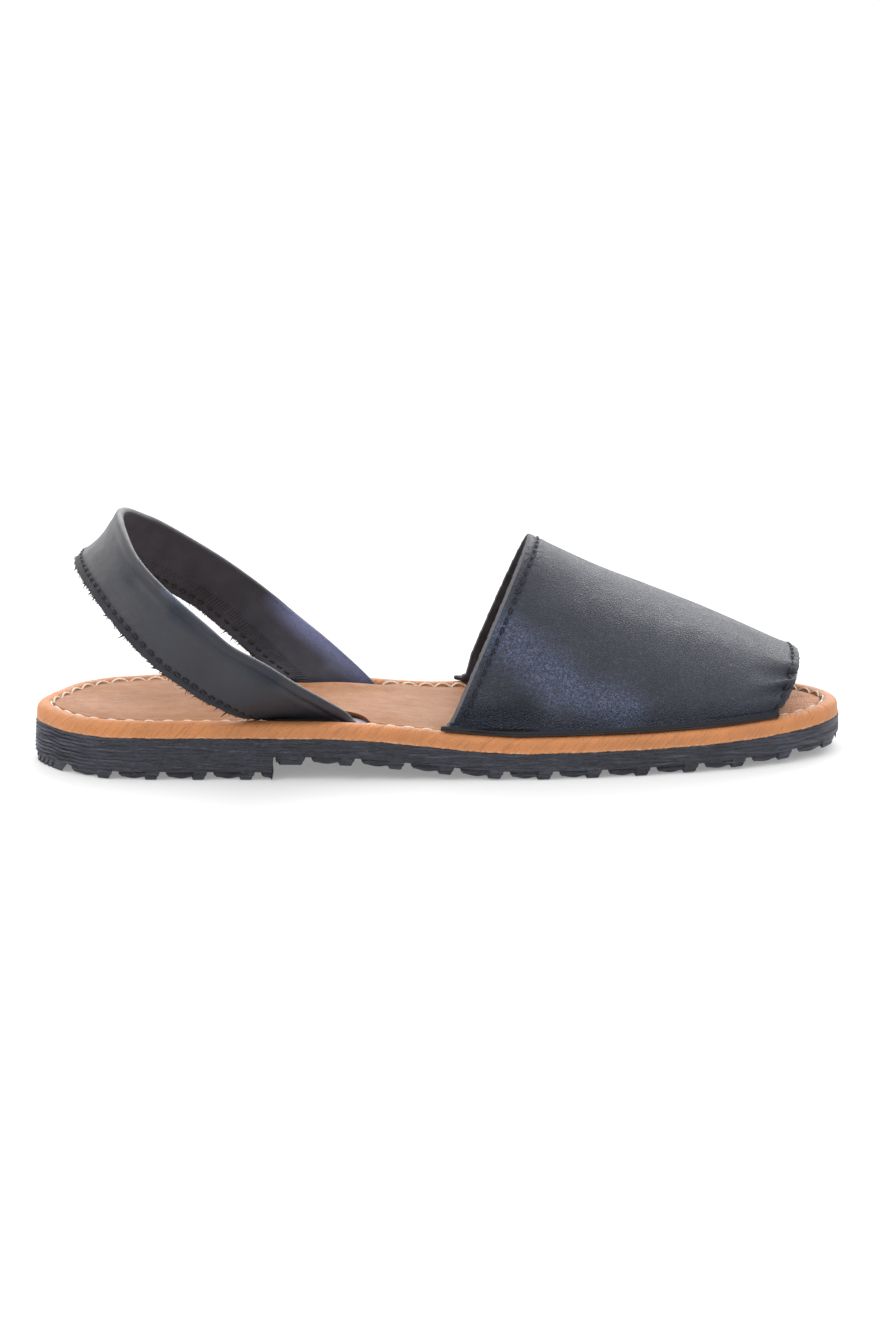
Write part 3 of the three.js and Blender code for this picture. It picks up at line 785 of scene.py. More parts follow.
def sole_rubber(rubber):
    """Black rubber with fine ridged lines along its sides, painted lighter on their ridges and darker between
    them (painted highlight and painted shade), with more painted highlight on the ridges towards heel and
    toe.
    """
    look = Look("sole_rubber", 0.45)
    where, length = look.where, look.length_map()
    lines = look.use("streaks", length, Along=75.0, Across=1250.0)[0]
    fine = look.use("streaks", length, Along=260.0, Across=3600.0)[0]
    broad = look.noise(where, 60.0, 4.0, 0.65)
    along = look.split(where)[0]
    ends = look.plus(look.ranged(along, -0.112, -0.134), look.ranged(along, 0.095, 0.128))
    # Painted highlight on the raised lines towards the heel's back and the toe
    end_highlights = look.times(look.times(ends, 0.75), look.ranged(lines, 0.42, 0.58))
    base = look.layers(
        look.blend(look.ranged(broad, 0.35, 0.75), tint(rubber, 1.1), tint(rubber, 2.0)),
        # Painted shade between the lines' ridges, painted highlight on the ridges and on the fine lines
        (look.ranged(lines, 0.45, 0.3, 0.0, 0.8), tint(rubber, 0.35)),
        (look.ranged(lines, 0.56, 0.66, 0.0, 0.6), tint(rubber, 4)),
        (look.ranged(fine, 0.6, 0.72, 0.0, 0.6), tint(rubber, 7)),
        (end_highlights, tint(rubber, 3.6)),
    )
    look.relief(lines, 0.0016)
    look.relief(fine, 0.0006, 0.9)
    look.relief(look.noise(where, 1500.0, 3.0, 0.6), 0.00008, 0.8)
    return look.done(base, look.ranged(lines, 0.4, 0.65, 0.6, 0.3))


# Rows of stitches and fibres


def row_tree(name, make_copy, standing, sway, sizes):
    """Copies of a small mesh along a line of edges, turned to the line and its 'up' and swayed at random."""
    inputs = {"Path": ("Geometry", None), "Seed": ("Int", 1), "Thread": ("Material", None)}
    inputs |= {label: ("Float", 0.0) for label in ("Pitch", "Length", "Thickness", "Bow", "Rise", "Sway")}
    n, given, out = group(name, "GeometryNodeTree", inputs, {"Row": "Geometry"})
    curve = n("GeometryNodeMeshToCurve", {0: given["Path"]})
    points = n("GeometryNodeResampleCurve", {"Curve": curve, "Length": given["Pitch"]}, mode="LENGTH")
    up = n("GeometryNodeInputNamedAttribute", {"Name": "up"}, data_type="FLOAT_VECTOR")
    axes = (("Z", up), ("X", n("GeometryNodeInputTangent")))
    (first, main), (second, other) = axes if standing else axes[::-1]
    settings = {"primary_axis": first, "secondary_axis": second}
    stand = n("FunctionNodeAxesToRotation", {0: main, 1: other}, **settings)
    low = n.vectors("SCALE", sway, scale=n.times(given["Sway"], -1.0))
    high = n.vectors("SCALE", sway, scale=given["Sway"])
    links = {0: low, 1: high, "Seed": given["Seed"]}
    angles = n("FunctionNodeRandomValue", links, data_type="FLOAT_VECTOR")
    tilt = n("FunctionNodeEulerToRotation", {0: angles})
    turned = n("FunctionNodeRotateRotation", {0: stand, 1: tilt}, rotation_space="LOCAL")
    links = {2: sizes[0], 3: sizes[1], "Seed": given["Seed"]}
    grow = n("FunctionNodeRandomValue", links, 1, data_type="FLOAT")
    links = {"Points": points, "Instance": make_copy(n, given), "Rotation": turned, "Scale": grow}
    real = n("GeometryNodeRealizeInstances", {0: n("GeometryNodeInstanceOnPoints", links)})
    if not standing:
        real = n("GeometryNodeSetShadeSmooth", {0: real})
    n.feed(out[0], n("GeometryNodeSetMaterial", {0: real, "Material": given["Thread"]}))
    return n.tree


def arched_thread(n, given):
    """One stitch: a round thread that comes up, bows outwards and goes down again."""
    half, thick = n.times(given["Length"], 0.5), given["Thickness"]
    sunk = n.times(thick, -0.9)
    high = n.plus(n.times(given["Rise"], 2.0), thick)
    crown = n.joined(0.0, n.times(given["Bow"], -2.0), high)
    links = {"Resolution": 7, "Start": n.joined(n.times(half, -1.0), 0.0, sunk), "Middle": crown}
    arch = n("GeometryNodeCurveQuadraticBezier", {**links, "End": n.joined(half, 0.0, sunk)})
    ring = n("GeometryNodeCurvePrimitiveCircle", {"Resolution": 6, "Radius": n.times(thick, 0.5)})
    return n("GeometryNodeCurveToMesh", {0: arch, 1: ring, "Fill Caps": True})


def fibre(n, given):
    links = {"Vertices": 3, "Side Segments": 1, "Radius Top": 0.0}
    links |= {"Radius Bottom": given["Thickness"], "Depth": given["Length"]}
    return n("GeometryNodeMeshCone", links)


def sew(tree, points, ups, values):
    """Runs a tree on a line in shoe millimetres whose points carry an 'up', and returns a plain mesh."""
    path = bpy.data.meshes.new("path")
    path.from_pydata(place(points).tolist(), [(i, i + 1) for i in range(len(points) - 1)], [])
    attribute = path.attributes.new("up", "FLOAT_VECTOR", "POINT")
    attribute.data.foreach_set("vector", np.asarray(ups, float).ravel())
    holder = linked("path", path)
    modifier = holder.modifiers.new("Row", "NODES")
    modifier.node_group = tree
    names = {item.name: item.identifier for item in tree.interface.items_tree if item.in_out == "INPUT"}
    for label, value in values.items():
        modifier[names[label]] = value
    graph = bpy.context.evaluated_depsgraph_get()
    mesh = bpy.data.meshes.new_from_object(holder.evaluated_get(graph), depsgraph=graph)
    holder.modifiers.remove(modifier)
    bpy.data.objects.remove(holder)
    bpy.data.meshes.remove(path)
    return mesh


def join_meshes(name, meshes, thread):
    """One piece from several plain meshes that share a material."""
    work = bmesh.new()
    for mesh in meshes:
        work.from_mesh(mesh)
        bpy.data.meshes.remove(mesh)
    joined = bpy.data.meshes.new(name)
    work.to_mesh(joined)
    work.free()
    joined.materials.append(thread)
    joined.polygons.foreach_set("material_index", np.zeros(len(joined.polygons), dtype=np.int32))
    return finish_piece(linked(name, joined))


# Outsole


def ribs(x, y, z, sizes):
    """How deep the wavy ribs round the back of the heel cut in at a place."""
    back = 1 - smooth((x - 4) / 26)
    sway = 0.3 * np.sin(0.19 * y + 0.13 * x) + 0.14 * np.sin(0.55 * y - 0.2 * x + 1)
    valley = 1 - np.abs(np.sin(math.pi * (z * MM / sizes.rib_pitch + sway))) ** 0.8
    return sizes.rib_depth / MM * back * valley


def heel_flare(x, z):
    """The back of the heel leans out a little towards the ground."""
    return 0.5 * (1 - smooth(x / 14)) * np.clip((HEEL_THICKNESS - z) / 9, 0, 1)


def sole_wall(sizes):
    """Side of the rubber sheet, in rings from its upper edge to the roof of its tread."""
    base, outward, length = outline_run(1000)
    x = base[:, 0]
    rings = []
    for row, t in enumerate(np.linspace(0, 1, 44)):
        z = mix(deck(x), sheet_bottom(x) + LUG_DEPTH, t)
        inset = 0.5 * (1 - smooth(t / 0.06)) + 0.06 * waver(length / length[-1], 11 + row // 4)
        inset = inset + ribs(x, base[:, 1], z, sizes) * smooth(t / 0.1) - heel_flare(x, z)
        rings.append(np.column_stack([base - outward * inset[:, None], z]))
    return length, rings


def heel_block(sizes):
    """The heel under the sheet, down to the roof of its tread, with a leaning front face."""
    rings = []
    for z in np.linspace(deck(0) - 4.6, LUG_DEPTH, 84):
        back, inset = 0.02, 0.03
        front = HEEL_LENGTH - BREAST_SLOPE * (1 - z / 10)
        x = mix(back, front, np.linspace(0, 1, 240) ** 2)
        outer, inner = (np.column_stack([x, side_at(x, side, inset)]) for side in (-1, 1))
        ring = np.concatenate([outer, inner[::-1]])
        outward = np.roll(ring, -1, 0) - np.roll(ring, 1, 0)
        outward = unit(np.column_stack([outward[:, 1], -outward[:, 0]]))
        depth = ribs(ring[:, 0], ring[:, 1], z, sizes) - heel_flare(ring[:, 0], z)
        rings.append(np.column_stack([ring - outward * depth[:, None], np.full(len(ring), z)]))
    return rings


def lug_side(x, side, inset, hollow):
    """One side of a lug: a long hollowed part that rounds off below, then a short upright one."""
    share = (x - x[0]) / (x[-1] - x[0])
    swell = np.sin(math.pi * np.clip(share / (1 - SHORT_LUG), 0, 1))
    recess = SIDE_STEP * (0.35 + 0.65 * np.abs(swell) ** 0.5) + hollow * (1 - 0.85 * swell)
    return np.column_stack([x, side_at(x, side, inset + recess * (share < 1 - SHORT_LUG))])


def lug_ring(x, end, pitch, gap, inset, hollow):
    """Outline of the lug between the groove at x and the one at end, with the grooves' jog."""
    jog = pitch / 2
    half = GROOVE_WIDTH / 2 + gap
    from_x, to_x = x + half, end - half
    run = np.linspace(from_x, to_x, 30)
    front = [(to_x, -JOG_START), (to_x + jog, JOG_END)]
    back = [(from_x + jog, JOG_END), (from_x, -JOG_START)]
    inner = lug_side(run + jog, 1, inset, hollow)[::-1]
    return np.concatenate([lug_side(run, -1, inset, hollow), front, inner, back])


def notched(ring, rise):
    """The rearmost lug follows the heel's curve and is nicked along its lower edge."""
    along = np.linspace(0, math.pi, 300)
    side = np.where(along < math.pi / 2, -1, 1)
    ends = np.where(side < 0, ring[: len(ring) // 2 - 2, 0].max(), ring[:, 0].max())
    edge = 0.3 + (ends - 0.3) * (1 - np.sin(along))
    reach = np.where(side < 0, side_at(edge, -1), side_at(edge, 1))
    passed = run_lengths(np.column_stack([edge, reach]))
    deep = 0.9 * math.sqrt(min(max(-rise / LUG_DEPTH, 0), 1))
    nick = deep * (np.sin(2 * math.pi * passed / 2.9) > 0.25) * (edge < ends - 3)
    behind = 1 - smooth((edge - 2) / 14)
    return np.column_stack([edge + nick * behind, reach - side * nick * (1 - behind)])


def lug_body(x, next_x, pitch, start, end):
    """A closed block with leaning sides, as rings and faces. Only the rearmost starts behind the heel."""
    rings = []
    for gap, inset, hollow, rise in LUG_LEVELS:
        ring = lug_ring(x, next_x, pitch, gap, inset, hollow)
        low = start + inset + (0.4 if start else 0.3)
        high = end - 0.4 - inset + 0.3 * BREAST_SLOPE * rise / LUG_DEPTH
        ring[:, 0] = np.clip(ring[:, 0], low, high)
        lateral, medial = (side_at(ring[:, 0], side, inset) for side in (-1, 1))
        crossed = lateral > medial
        ring[:, 1] = np.clip(ring[:, 1], np.where(crossed, 0, lateral), np.where(crossed, 0, medial))
        if x < 0:
            ring = notched(ring, rise)
        ground = sheet_bottom(ring[:, 0]) if start else np.zeros(len(ring))
        rings.append(np.column_stack([ring, ground + LUG_DEPTH + rise]))
    size, last = len(rings[0]), len(rings[0]) * (len(rings) - 1)
    faces, _ = tube_faces(len(rings), size)
    for at in (0, last):
        faces += cap_faces(size, at, 1) if x < 0 else [tuple(range(at, at + size))]
    return np.concatenate(rings), faces


def lug_bodies():
    """All lugs under heel and forepart."""
    points, faces, count = [], [], 0
    for start, end, pitch in ((0, HEEL_LENGTH, HEEL_PITCH), (HEEL_LENGTH, SOLE_LENGTH, FORE_PITCH)):
        grooves = [start - pitch, *np.arange(start + FIRST_GROOVE, end - GROOVE_WIDTH, pitch)]
        for x, next_x in zip(grooves, grooves[1:] + [grooves[-1] + pitch]):
            body, more = lug_body(x, next_x, pitch, start, end)
            points.append(body)
            faces += shifted(more, count)
            count += len(body)
    return np.concatenate(points), faces


class SANDAL_OT_outsole(Operator):
    """Builds the rubber outsole with its heel, lugs and side steps"""

    bl_idname = "sandal.outsole"
    bl_label = "Outsole"

    def execute(self, context):
        sizes = context.scene.sandal_sizes
        rubber = sole_rubber(context.scene.sandal_colours.rubber)
        length, wall = sole_wall(sizes)
        block = heel_block(sizes)
        lugs, lug_faces = lug_bodies()
        wall_count, block_count = len(wall) * len(wall[0]), len(block) * len(block[0])
        faces, uv = shell(wall, length)
        more, more_uv = shell(block, run_lengths(block[0][:, :2]), wall_count)
        lug_uv = np.array([lugs[i, [0, 2]] for face in lug_faces for i in face]) * MM
        points = np.concatenate([*wall, *block, lugs])
        faces += more + shifted(lug_faces, wall_count + block_count)
        uv = np.concatenate([uv, more_uv, lug_uv])
        piece = new_piece("sole_rubber", points, faces, [rubber], uv=uv)
        sharpen(piece, 35)
        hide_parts("outsole")
        return {"FINISHED"}


# Footbed


def wrap_section(count):
    """Closed section of the rolled edge, smoothed: inset from the rubber's edge and height above the deck."""
    side = [(WRAP_INSET + more, share * CROWN_HEIGHT) for more, share in WRAP_SIDE]
    roll = [(inset * SEAM_INSET, share * CROWN_HEIGHT) for inset, share in WRAP_ROLL]
    inner = WRAP_INSET + WRAP_THICKNESS
    inner_wall = [(inner, 0.6 * CROWN_HEIGHT), (inner, 0.12)]
    closed = np.array([*WRAP_BOTTOM, *side, *roll, *inner_wall, WRAP_BOTTOM[0]])
    length = run_lengths(closed)
    fine = along_line(closed, length, np.linspace(0, length[-1], count, endpoint=False))
    for _ in range(2):
        fine = 0.25 * np.roll(fine, 1, 0) + 0.5 * fine + 0.25 * np.roll(fine, -1, 0)
    return fine


def rim_creases(base, length, rise):
    """Depth of the creases over the rolled edge at one height of its section."""
    total = np.zeros(len(base))
    for share, side, slant, depth, width in RIM_CREASES:
        x = share * SOLE_LENGTH
        middle = length[np.argmin(np.linalg.norm(base - (x, side_at(x, side)), axis=1))]
        total += depth * hill(length, middle + slant * (rise - 2.5), width)
    return total


def seam_dips(points, holes, depth):
    """Small dips round the holes that the seam's thread goes down."""
    gaps = np.linalg.norm(points[:, None, :2] - holes[None, :, :2], axis=2).min(1)
    return depth * hill(gaps, 0, 0.55)


def edge_wrap_piece(sizes, colours):
    base, outward, length = outline_run(1400)
    section = wrap_section(46)
    turns = length / length[-1]
    ragged = 0.2 * waver(turns, 21, ((31, 1), (83, 0.8), (197, 0.7), (331, 0.5)))
    puff = 0.16 * waver(turns, 22, ((7, 1), (19, 0.8), (41, 0.6)))
    holes = np.concatenate([run[2] for run in seam_runs(sizes)])
    points = []
    for inset, rise in section:
        low = (1 - smooth(rise / 0.9)) * (inset < 0.5)
        near_seam = hill(inset, SEAM_INSET, 1.1) * smooth((rise - 3.4) / 0.8)
        outer = smooth(rise / 1.2) * (inset < SEAM_INSET - 0.5) * (rise > 0.7)
        sunk = rim_creases(base, length, rise) * outer
        at = base - outward * (inset - 0.5 * puff * smooth(rise / 3) + sunk * 0.8)[:, None]
        dips = seam_dips(at, holes, 0.35) if inset > 4.6 and rise > 3.4 else 0
        z = deck(base[:, 0]) + rise + ragged * low + 0.6 * puff * smooth((rise - 2) / 3) * (1 - near_seam)
        z = z - dips - sunk * 0.7 * smooth((rise - 3) / 2)
        points.append(np.column_stack([at, z]))
    rings = np.stack(points, 1)
    faces, corners = tube_faces(*rings.shape[:2], True)
    along = np.append(length, length[-1] + length[1])
    around = run_lengths(section)
    around = np.append(around, around[-1] + 0.3)
    uv = np.array([(along[i], around[j]) for i, j in corners]) * MM
    tan = tan_leather(colours.edge_tan, colours.cut_edge)
    piece = new_piece("edge_wrap_leather", rings.reshape(-1, 3), faces, [tan], uv=uv)
    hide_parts("edge_wrap")


def slot_cut(x, middle):
    """How far a slot reaches in from the sock's edge. The outer one is shorter and blunter in front."""
    trimmed = (x > middle) & (middle == LATERAL_SLOT_MIDDLE)
    half = SLOT_LENGTH / 2 - SLOT_TRIM * trimmed
    share = np.clip(1 - np.abs((x - middle) / half) ** np.where(trimmed, 3.4, 2.2), 0, 1)
    return SLOT_DEPTH * np.sqrt(share)


def sock_surface(sizes):
    """Grid of the sock's upper face: rows along the shoe, columns across it."""
    rows, columns = 420, 90
    share = 0.35 * np.linspace(0, 1, rows) + 0.65 * eased(rows, 0.004, math.pi - 0.004)
    base, outward, _ = outline_run(3000)
    edge = base - outward * (SEAM_INSET + 0.1)
    low, high = edge[:, 0].min(), edge[:, 0].max()
    x = low + (high - low) * np.clip(share, 0.0006, 0.9994)
    toe, heel = int(np.argmax(edge[:, 0])), int(np.argmin(edge[:, 0]))
    outer = np.roll(edge, -heel, 0)[: (toe - heel) % len(edge) + 1]
    inner = np.roll(edge, -toe, 0)[: (heel - toe) % len(edge) + 1][::-1]
    lateral, medial = (np.interp(x, np.maximum.accumulate(run[:, 0]), run[:, 1]) for run in (outer, inner))
    start = lateral + slot_cut(x, LATERAL_SLOT_MIDDLE)
    stop = medial - slot_cut(x, MEDIAL_SLOT_MIDDLE)
    y = start[:, None] + (stop - start)[:, None] * eased(columns)[None]
    x = np.repeat(x[:, None], columns, 1)
    tips = 3.0 * np.sqrt(np.maximum(np.minimum(x - low, high - x), 0))
    gap = np.minimum(np.minimum(y - lateral[:, None], medial[:, None] - y), tips)
    z = deck(x) + CORE_THICKNESS + 2 * CLEARANCE + SOCK_THICKNESS
    z = z - 0.9 * hill(gap, 0, 1.1) - 0.35 * hill(gap, 3, 3) - 0.5 * hill(x, 38, 34) * smooth(gap / 16)
    for rim, middle, width, weight in (
        (y - start[:, None], LATERAL_SLOT_MIDDLE + 2, 15, 0.45),
        (stop[:, None] - y, MEDIAL_SLOT_MIDDLE + 2, 18, 1.2),
    ):
        z = z + weight * sizes.slot_lift / MM * hill(rim, 0, 5.5) * hill(x, middle, width)
    wave = np.sin(x / 11 + 2 * np.sin(y / 17)) * np.sin(y / 9 + 1.3 * np.sin(x / 23))
    return np.stack([x, y, z + 0.09 * wave * smooth(gap / 5)], 2)


def sock_piece(sizes, colours):
    top = sock_surface(sizes)
    rows, columns = top.shape[:2]
    under = top - (0, 0, SOCK_THICKNESS * 0.9)
    ring = np.concatenate([top, under[:, ::-1]], 1)
    width = 2 * columns
    faces, corners = tube_faces(rows, width)
    faces += cap_faces(width, 0, 1) + cap_faces(width, (rows - 1) * width, 1)
    marks = [int(j >= columns - 1) for _, j in corners[::4]] + [1] * (2 * columns - 2)
    parts = [sock_leather(colours.sock_tan, colours.sock_toe), raw_edge("cut_edge", colours.cut_edge)]
    piece = new_piece("insole_sock_leather", ring.reshape(-1, 3), faces, parts, marks=marks)
    sharpen(piece, 50)
    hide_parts("insole_sock")


class SANDAL_OT_footbed(Operator):
    """Builds the rolled leather edge and the sock, and gives the core its felt"""

    bl_idname = "sandal.footbed"
    bl_label = "Footbed"

    def execute(self, context):
        sizes, colours = context.scene.sandal_sizes, context.scene.sandal_colours
        edge_wrap_piece(sizes, colours)
        sock_piece(sizes, colours)
        felt = felt_fabric(colours.felt)
        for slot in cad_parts["midsole_core"].material_slots:
            slot.material = felt
        return {"FINISHED"}


# Vamp


def flange_top(x):
    return deck(x) + CROWN_HEIGHT + CLEARANCE


def vamp_point(along, across):
    """Inner face of the vamp's wall, as in the part's source."""
    lateral_x = mix(THROAT_LATERAL, TOE_LATERAL, along)
    medial_x = mix(THROAT_MEDIAL, TOE_MEDIAL, along)
    crest_x = mix(THROAT_CREST, TOE_CREST, along)
    angle = math.pi * across
    power = 2 / ARCH_FULLNESS
    lift = np.abs(np.sin(angle)) ** power
    share = (1 - np.sign(np.cos(angle)) * np.abs(np.cos(angle)) ** power) / 2
    foot_x = mix(lateral_x, medial_x, share)
    x = foot_x + lift * (crest_x - (lateral_x + medial_x) / 2)
    y = mix(side_at(lateral_x, -1, VAMP_INSET), side_at(medial_x, 1, VAMP_INSET), share)
    z = mix(flange_top(foot_x), crest_curve(along), lift)
    return np.stack(np.broadcast_arrays(x, y, z), -1)


def vamp_normal(along, across):
    step = 0.004
    u0, u1 = np.maximum(along - step, 0), np.minimum(along + step, 1)
    v0, v1 = np.maximum(across - step, 0.002), np.minimum(across + step, 0.998)
    lengthwise = vamp_point(u1, across) - vamp_point(u0, across)
    return unit(np.cross(lengthwise, vamp_point(along, v1) - vamp_point(along, v0)))


def vamp_outer(along, across, sunk=0.0):
    """Outer face of the vamp, or a place sunk under it: its wall swells outwards above the flange."""
    point = vamp_point(along, across)
    foot = flange_top(mix(THROAT_LATERAL, TOE_LATERAL, along))
    grow = smooth((point[..., 2] - foot - FLANGE_THICKNESS) / 8.5)
    return point + vamp_normal(along, across) * (VAMP_WALL * grow - sunk)[..., None]


def vamp_reach(across):
    """Length of the vamp from throat to toe at each place across, in millimetres."""
    line = vamp_point(np.linspace(0, 1, 40)[:, None], across[None])
    return np.linalg.norm(np.diff(line, axis=0), axis=2).sum(0)


def wall_start(along):
    """Where across the wall rises clear of its flange."""
    tall = crest_curve(along) - deck(mix(THROAT_LATERAL, TOE_LATERAL, along)) - CROWN_HEIGHT
    return np.arcsin(np.clip(2.9 / tall, 0, 0.5) ** (ARCH_FULLNESS / 2)) / math.pi


def edge_path(at_throat, sizes):
    """The vamp's line of stitching: places across, points, normals, lengths and stitch count."""
    first = 0.03 if at_throat else 0.065
    v = np.linspace(first, 1 - first, 300)
    distance = (sizes.throat_margin if at_throat else sizes.toe_margin) / MM / vamp_reach(v)
    u = distance if at_throat else 1 - distance
    points = vamp_outer(u, v)
    length = run_lengths(points)
    return v, points, vamp_normal(u, v), length, max(int(round(length[-1] * MM / sizes.top_pitch)), 1)


def stitch_holes(across, at_throat, sizes):
    """How near each place across is to a hole of the vamp's stitching, from 0 to 1."""
    v, _, _, length, count = edge_path(at_throat, sizes)
    phase = np.interp(across, v, length) / length[-1] * count
    return hill((phase % 1) - 0.5, 0, 0.13) * (across > v[0]) * (across < v[-1])


def vamp_relief(along, across, sizes):
    """Height of seams, edges and creases over the vamp's smooth face."""
    reach = vamp_reach(across[0])[None]
    from_throat, from_toe = along * reach, (1 - along) * reach
    throat, toe = sizes.throat_margin / MM, sizes.toe_margin / MM
    holes, toe_holes = (stitch_holes(across[0], at_throat, sizes)[None] for at_throat in (True, False))
    seam = -(0.22 + 0.3 * holes) * hill(from_throat, throat, 0.62)
    seam = seam + (0.2 - 0.14 * holes) * hill(from_throat, throat * 0.45, 1.0)
    seam = seam - (0.25 + 0.35 * toe_holes) * hill(from_toe, toe, 0.6)
    seam = seam + (0.2 - 0.15 * toe_holes) * hill(from_toe, toe * 0.4, 0.7)
    beyond = (0.16 - 0.1 * holes) * hill(from_throat, throat + 1.9, 1.2)
    beyond = beyond + 0.12 * hill(from_toe, toe + 1.7, 1.1)
    folds = 0
    for middle, drift, width, weight in TOE_FOLDS:
        folds = folds + weight * hill(across, middle + drift * from_toe, width * (1 + from_toe / 16))
    fade = np.exp(-((from_toe / 13) ** 1.5)) * (1 - 0.55 * hill(from_toe, 0, 1.5))
    soft = 0.22 * np.sin(7 * along + 3 * np.sin(9 * across)) * np.sin(11 * across + 2 * along)
    soft = soft * smooth(from_throat / 12) * smooth(from_toe / 12)
    return seam + beyond + folds * fade * sizes.pucker / MM + soft


def flange_run(along, side, rows):
    """One face of the flange and its fillet: the points along it for each row of its section."""
    foot_x = mix(THROAT_LATERAL, TOE_LATERAL, along) if side < 0 else mix(THROAT_MEDIAL, TOE_MEDIAL, along)
    wave = 0.14 * waver(along, 31 + side, ((5, 1), (13, 0.7), (29, 0.6)))
    made = []
    for inset, rise in rows:
        x = foot_x - FLANGE_LEAD * (1 - along) ** 6 * (1 - smooth(inset / 2.6))
        y = side_at(x, side, FLANGE_INSET + inset) + side * wave * (1 - smooth(inset / 2))
        z = flange_top(x) + rise + 0.5 * wave * (rise > 0.5) * (1 - smooth(inset / 3))
        made.append(np.stack([x, y, z], 1))
    return made


def leaf_cap(start, end, outward, ragged):
    """Rough cut edge of two leaves of leather laid together."""
    outward = outward / max(np.linalg.norm(outward), 1e-9)
    rows = zip(CUT_SHARES, CUT_HEIGHTS)
    return np.array([mix(start, end, s) + outward * (0.3 * h + ragged * (h > 0)) for s, h in rows])


def vamp_rings(sizes):
    """Cross rings of the vamp: each runs over the outer face from throat to toe and back inside."""
    wide, inside = 240, 44
    spans = ((0, 0.07, 22, False), (0.07, 0.93, 84, False), (0.93, 1, 24, True))
    u = np.concatenate([np.linspace(a, b, count, endpoint=end) for a, b, count, end in spans])
    sides = []
    for along, rows in ((u, FLANGE_OUTER), (np.linspace(1, 0, inside), FLANGE_INNER)):
        first = wall_start(along)[:, None]
        across = mix(first, 1 - first, np.linspace(0, 1, wide)[None])
        grid = np.repeat(along[:, None], wide, 1)
        if rows is FLANGE_OUTER:
            raised = vamp_relief(grid, across, sizes)
            face = vamp_outer(grid, across, -raised)
        else:
            face = vamp_outer(grid, across, VAMP_WALL)
        walls = [face[:, j] for j in range(wide)]
        sides.append(flange_run(along, -1, rows) + walls + flange_run(along, 1, rows)[::-1])
    rings = []
    for a, b in zip(*sides):
        turns = len(rings) / len(sides[0])
        toe_cap = leaf_cap(a[-1], b[0], a[-1] - a[-2], 0.3 * waver(turns, 51, EDGE_WAVES))
        throat_cap = leaf_cap(b[-1], a[0], a[0] - a[1], 0.16 * waver(turns, 52, EDGE_WAVES))
        rings.append(np.concatenate([a, toe_cap, b, throat_cap]))
    return np.stack(rings), len(u), inside


def vamp_piece(sizes, colours):
    rings, lengthwise, inside = vamp_rings(sizes)
    rows, width = rings.shape[:2]
    faces, corners = tube_faces(rows, width)
    leather, suede, cut, throat = range(4)
    back = lengthwise + len(CUT_SHARES) - 1
    marks = []
    for i, j in corners[::4]:
        if j < lengthwise - 1:
            marks.append(cut if i < 3 or i >= rows - 4 else throat if j < 2 else leather)
        elif back <= j < back + inside:
            marks.append(suede)
        else:
            marks.append(throat if j >= width - 5 else cut)
    for ring in (0, rows - 1):
        faces.append(tuple(range(ring * width, (ring + 1) * width)))
        marks.append(leather)
    parts = [
        # Bands of painted sheen and painted shade on the vamp's leather
        black_leather(colours, colours.leather, "vamp_leather", 1250.0, 0.0009, VAMP_PAINTED_SHEEN, VAMP_PAINTED_SHADE, 0.37),
        lining_leather(colours, "vamp_suede", 0.6),
        raw_edge("vamp_cut", (0.022, 0.022, 0.024)),
        raw_edge("throat_cut", (0.12, 0.12, 0.128)),
    ]
    piece = new_piece("vamp_leather", rings.reshape(-1, 3), faces, parts, marks=marks)
    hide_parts("vamp")


class SANDAL_OT_vamp(Operator):
    """Builds the vamp with its flange, cut edges and puckers"""

    bl_idname = "sandal.vamp"
    bl_label = "Vamp"

    def execute(self, context):
        vamp_piece(context.scene.sandal_sizes, context.scene.sandal_colours)
        return {"FINISHED"}


# Heel strap


def foot_rows(foot):
    """The strap's edges in its slot, from the rubber up to the sock."""
    side, deep, top = foot
    inset = SEAM_INSET + CLEARANCE + STRAP_THICKNESS / 2 + FOOT_PLAY
    rows = []
    for k, height in enumerate((3 * CLEARANCE, 0.5 * CROWN_HEIGHT, CROWN_HEIGHT + 2 * CLEARANCE)):
        x = mix(np.array(deep), np.array(top), k / 2)
        rows.append(np.column_stack([x, side_at(x, side, inset), deck(x) + height]))
    return rows


def strap_edges():
    """Rows of the strap's lower and upper edge, from the outer slot round the heel to the inner slot."""
    spread = (STRAP_REACH, STRAP_SPREAD, STRAP_HEIGHT)
    loop = ROUTE.reshape(-1, 2, 3) * spread + (STRAP_BACK, 0, 0)
    rows = np.concatenate([foot_rows(LATERAL_FOOT), loop, foot_rows(MEDIAL_FOOT)[::-1]])
    return rows[:, 0], rows[:, 1]


def centripetal(points, t):
    """A centripetal curve through the points, read at shares t of its spans."""
    whole = np.concatenate([[2 * points[0] - points[1]], points, [2 * points[-1] - points[-2]]])
    at = np.clip(t, 0, 1) * (len(points) - 1)
    i = np.minimum(at.astype(int), len(points) - 2)
    w = (at - i)[:, None]
    p0, p1, p2, p3 = (whole[i + k] for k in range(4))
    pairs = ((p0, p1), (p1, p2), (p2, p3))
    d0, d1, d2 = (np.maximum(np.linalg.norm(b - a, axis=1) ** 0.5, 1e-4)[:, None] for a, b in pairs)
    t1 = ((p1 - p0) / d0 - (p2 - p0) / (d0 + d1) + (p2 - p1) / d1) * d1
    t2 = ((p2 - p1) / d1 - (p3 - p1) / (d1 + d2) + (p3 - p2) / d2) * d1
    return p1 + t1 * w + (3 * (p2 - p1) - 2 * t1 - t2) * w**2 + (2 * (p1 - p2) + t1 + t2) * w**3


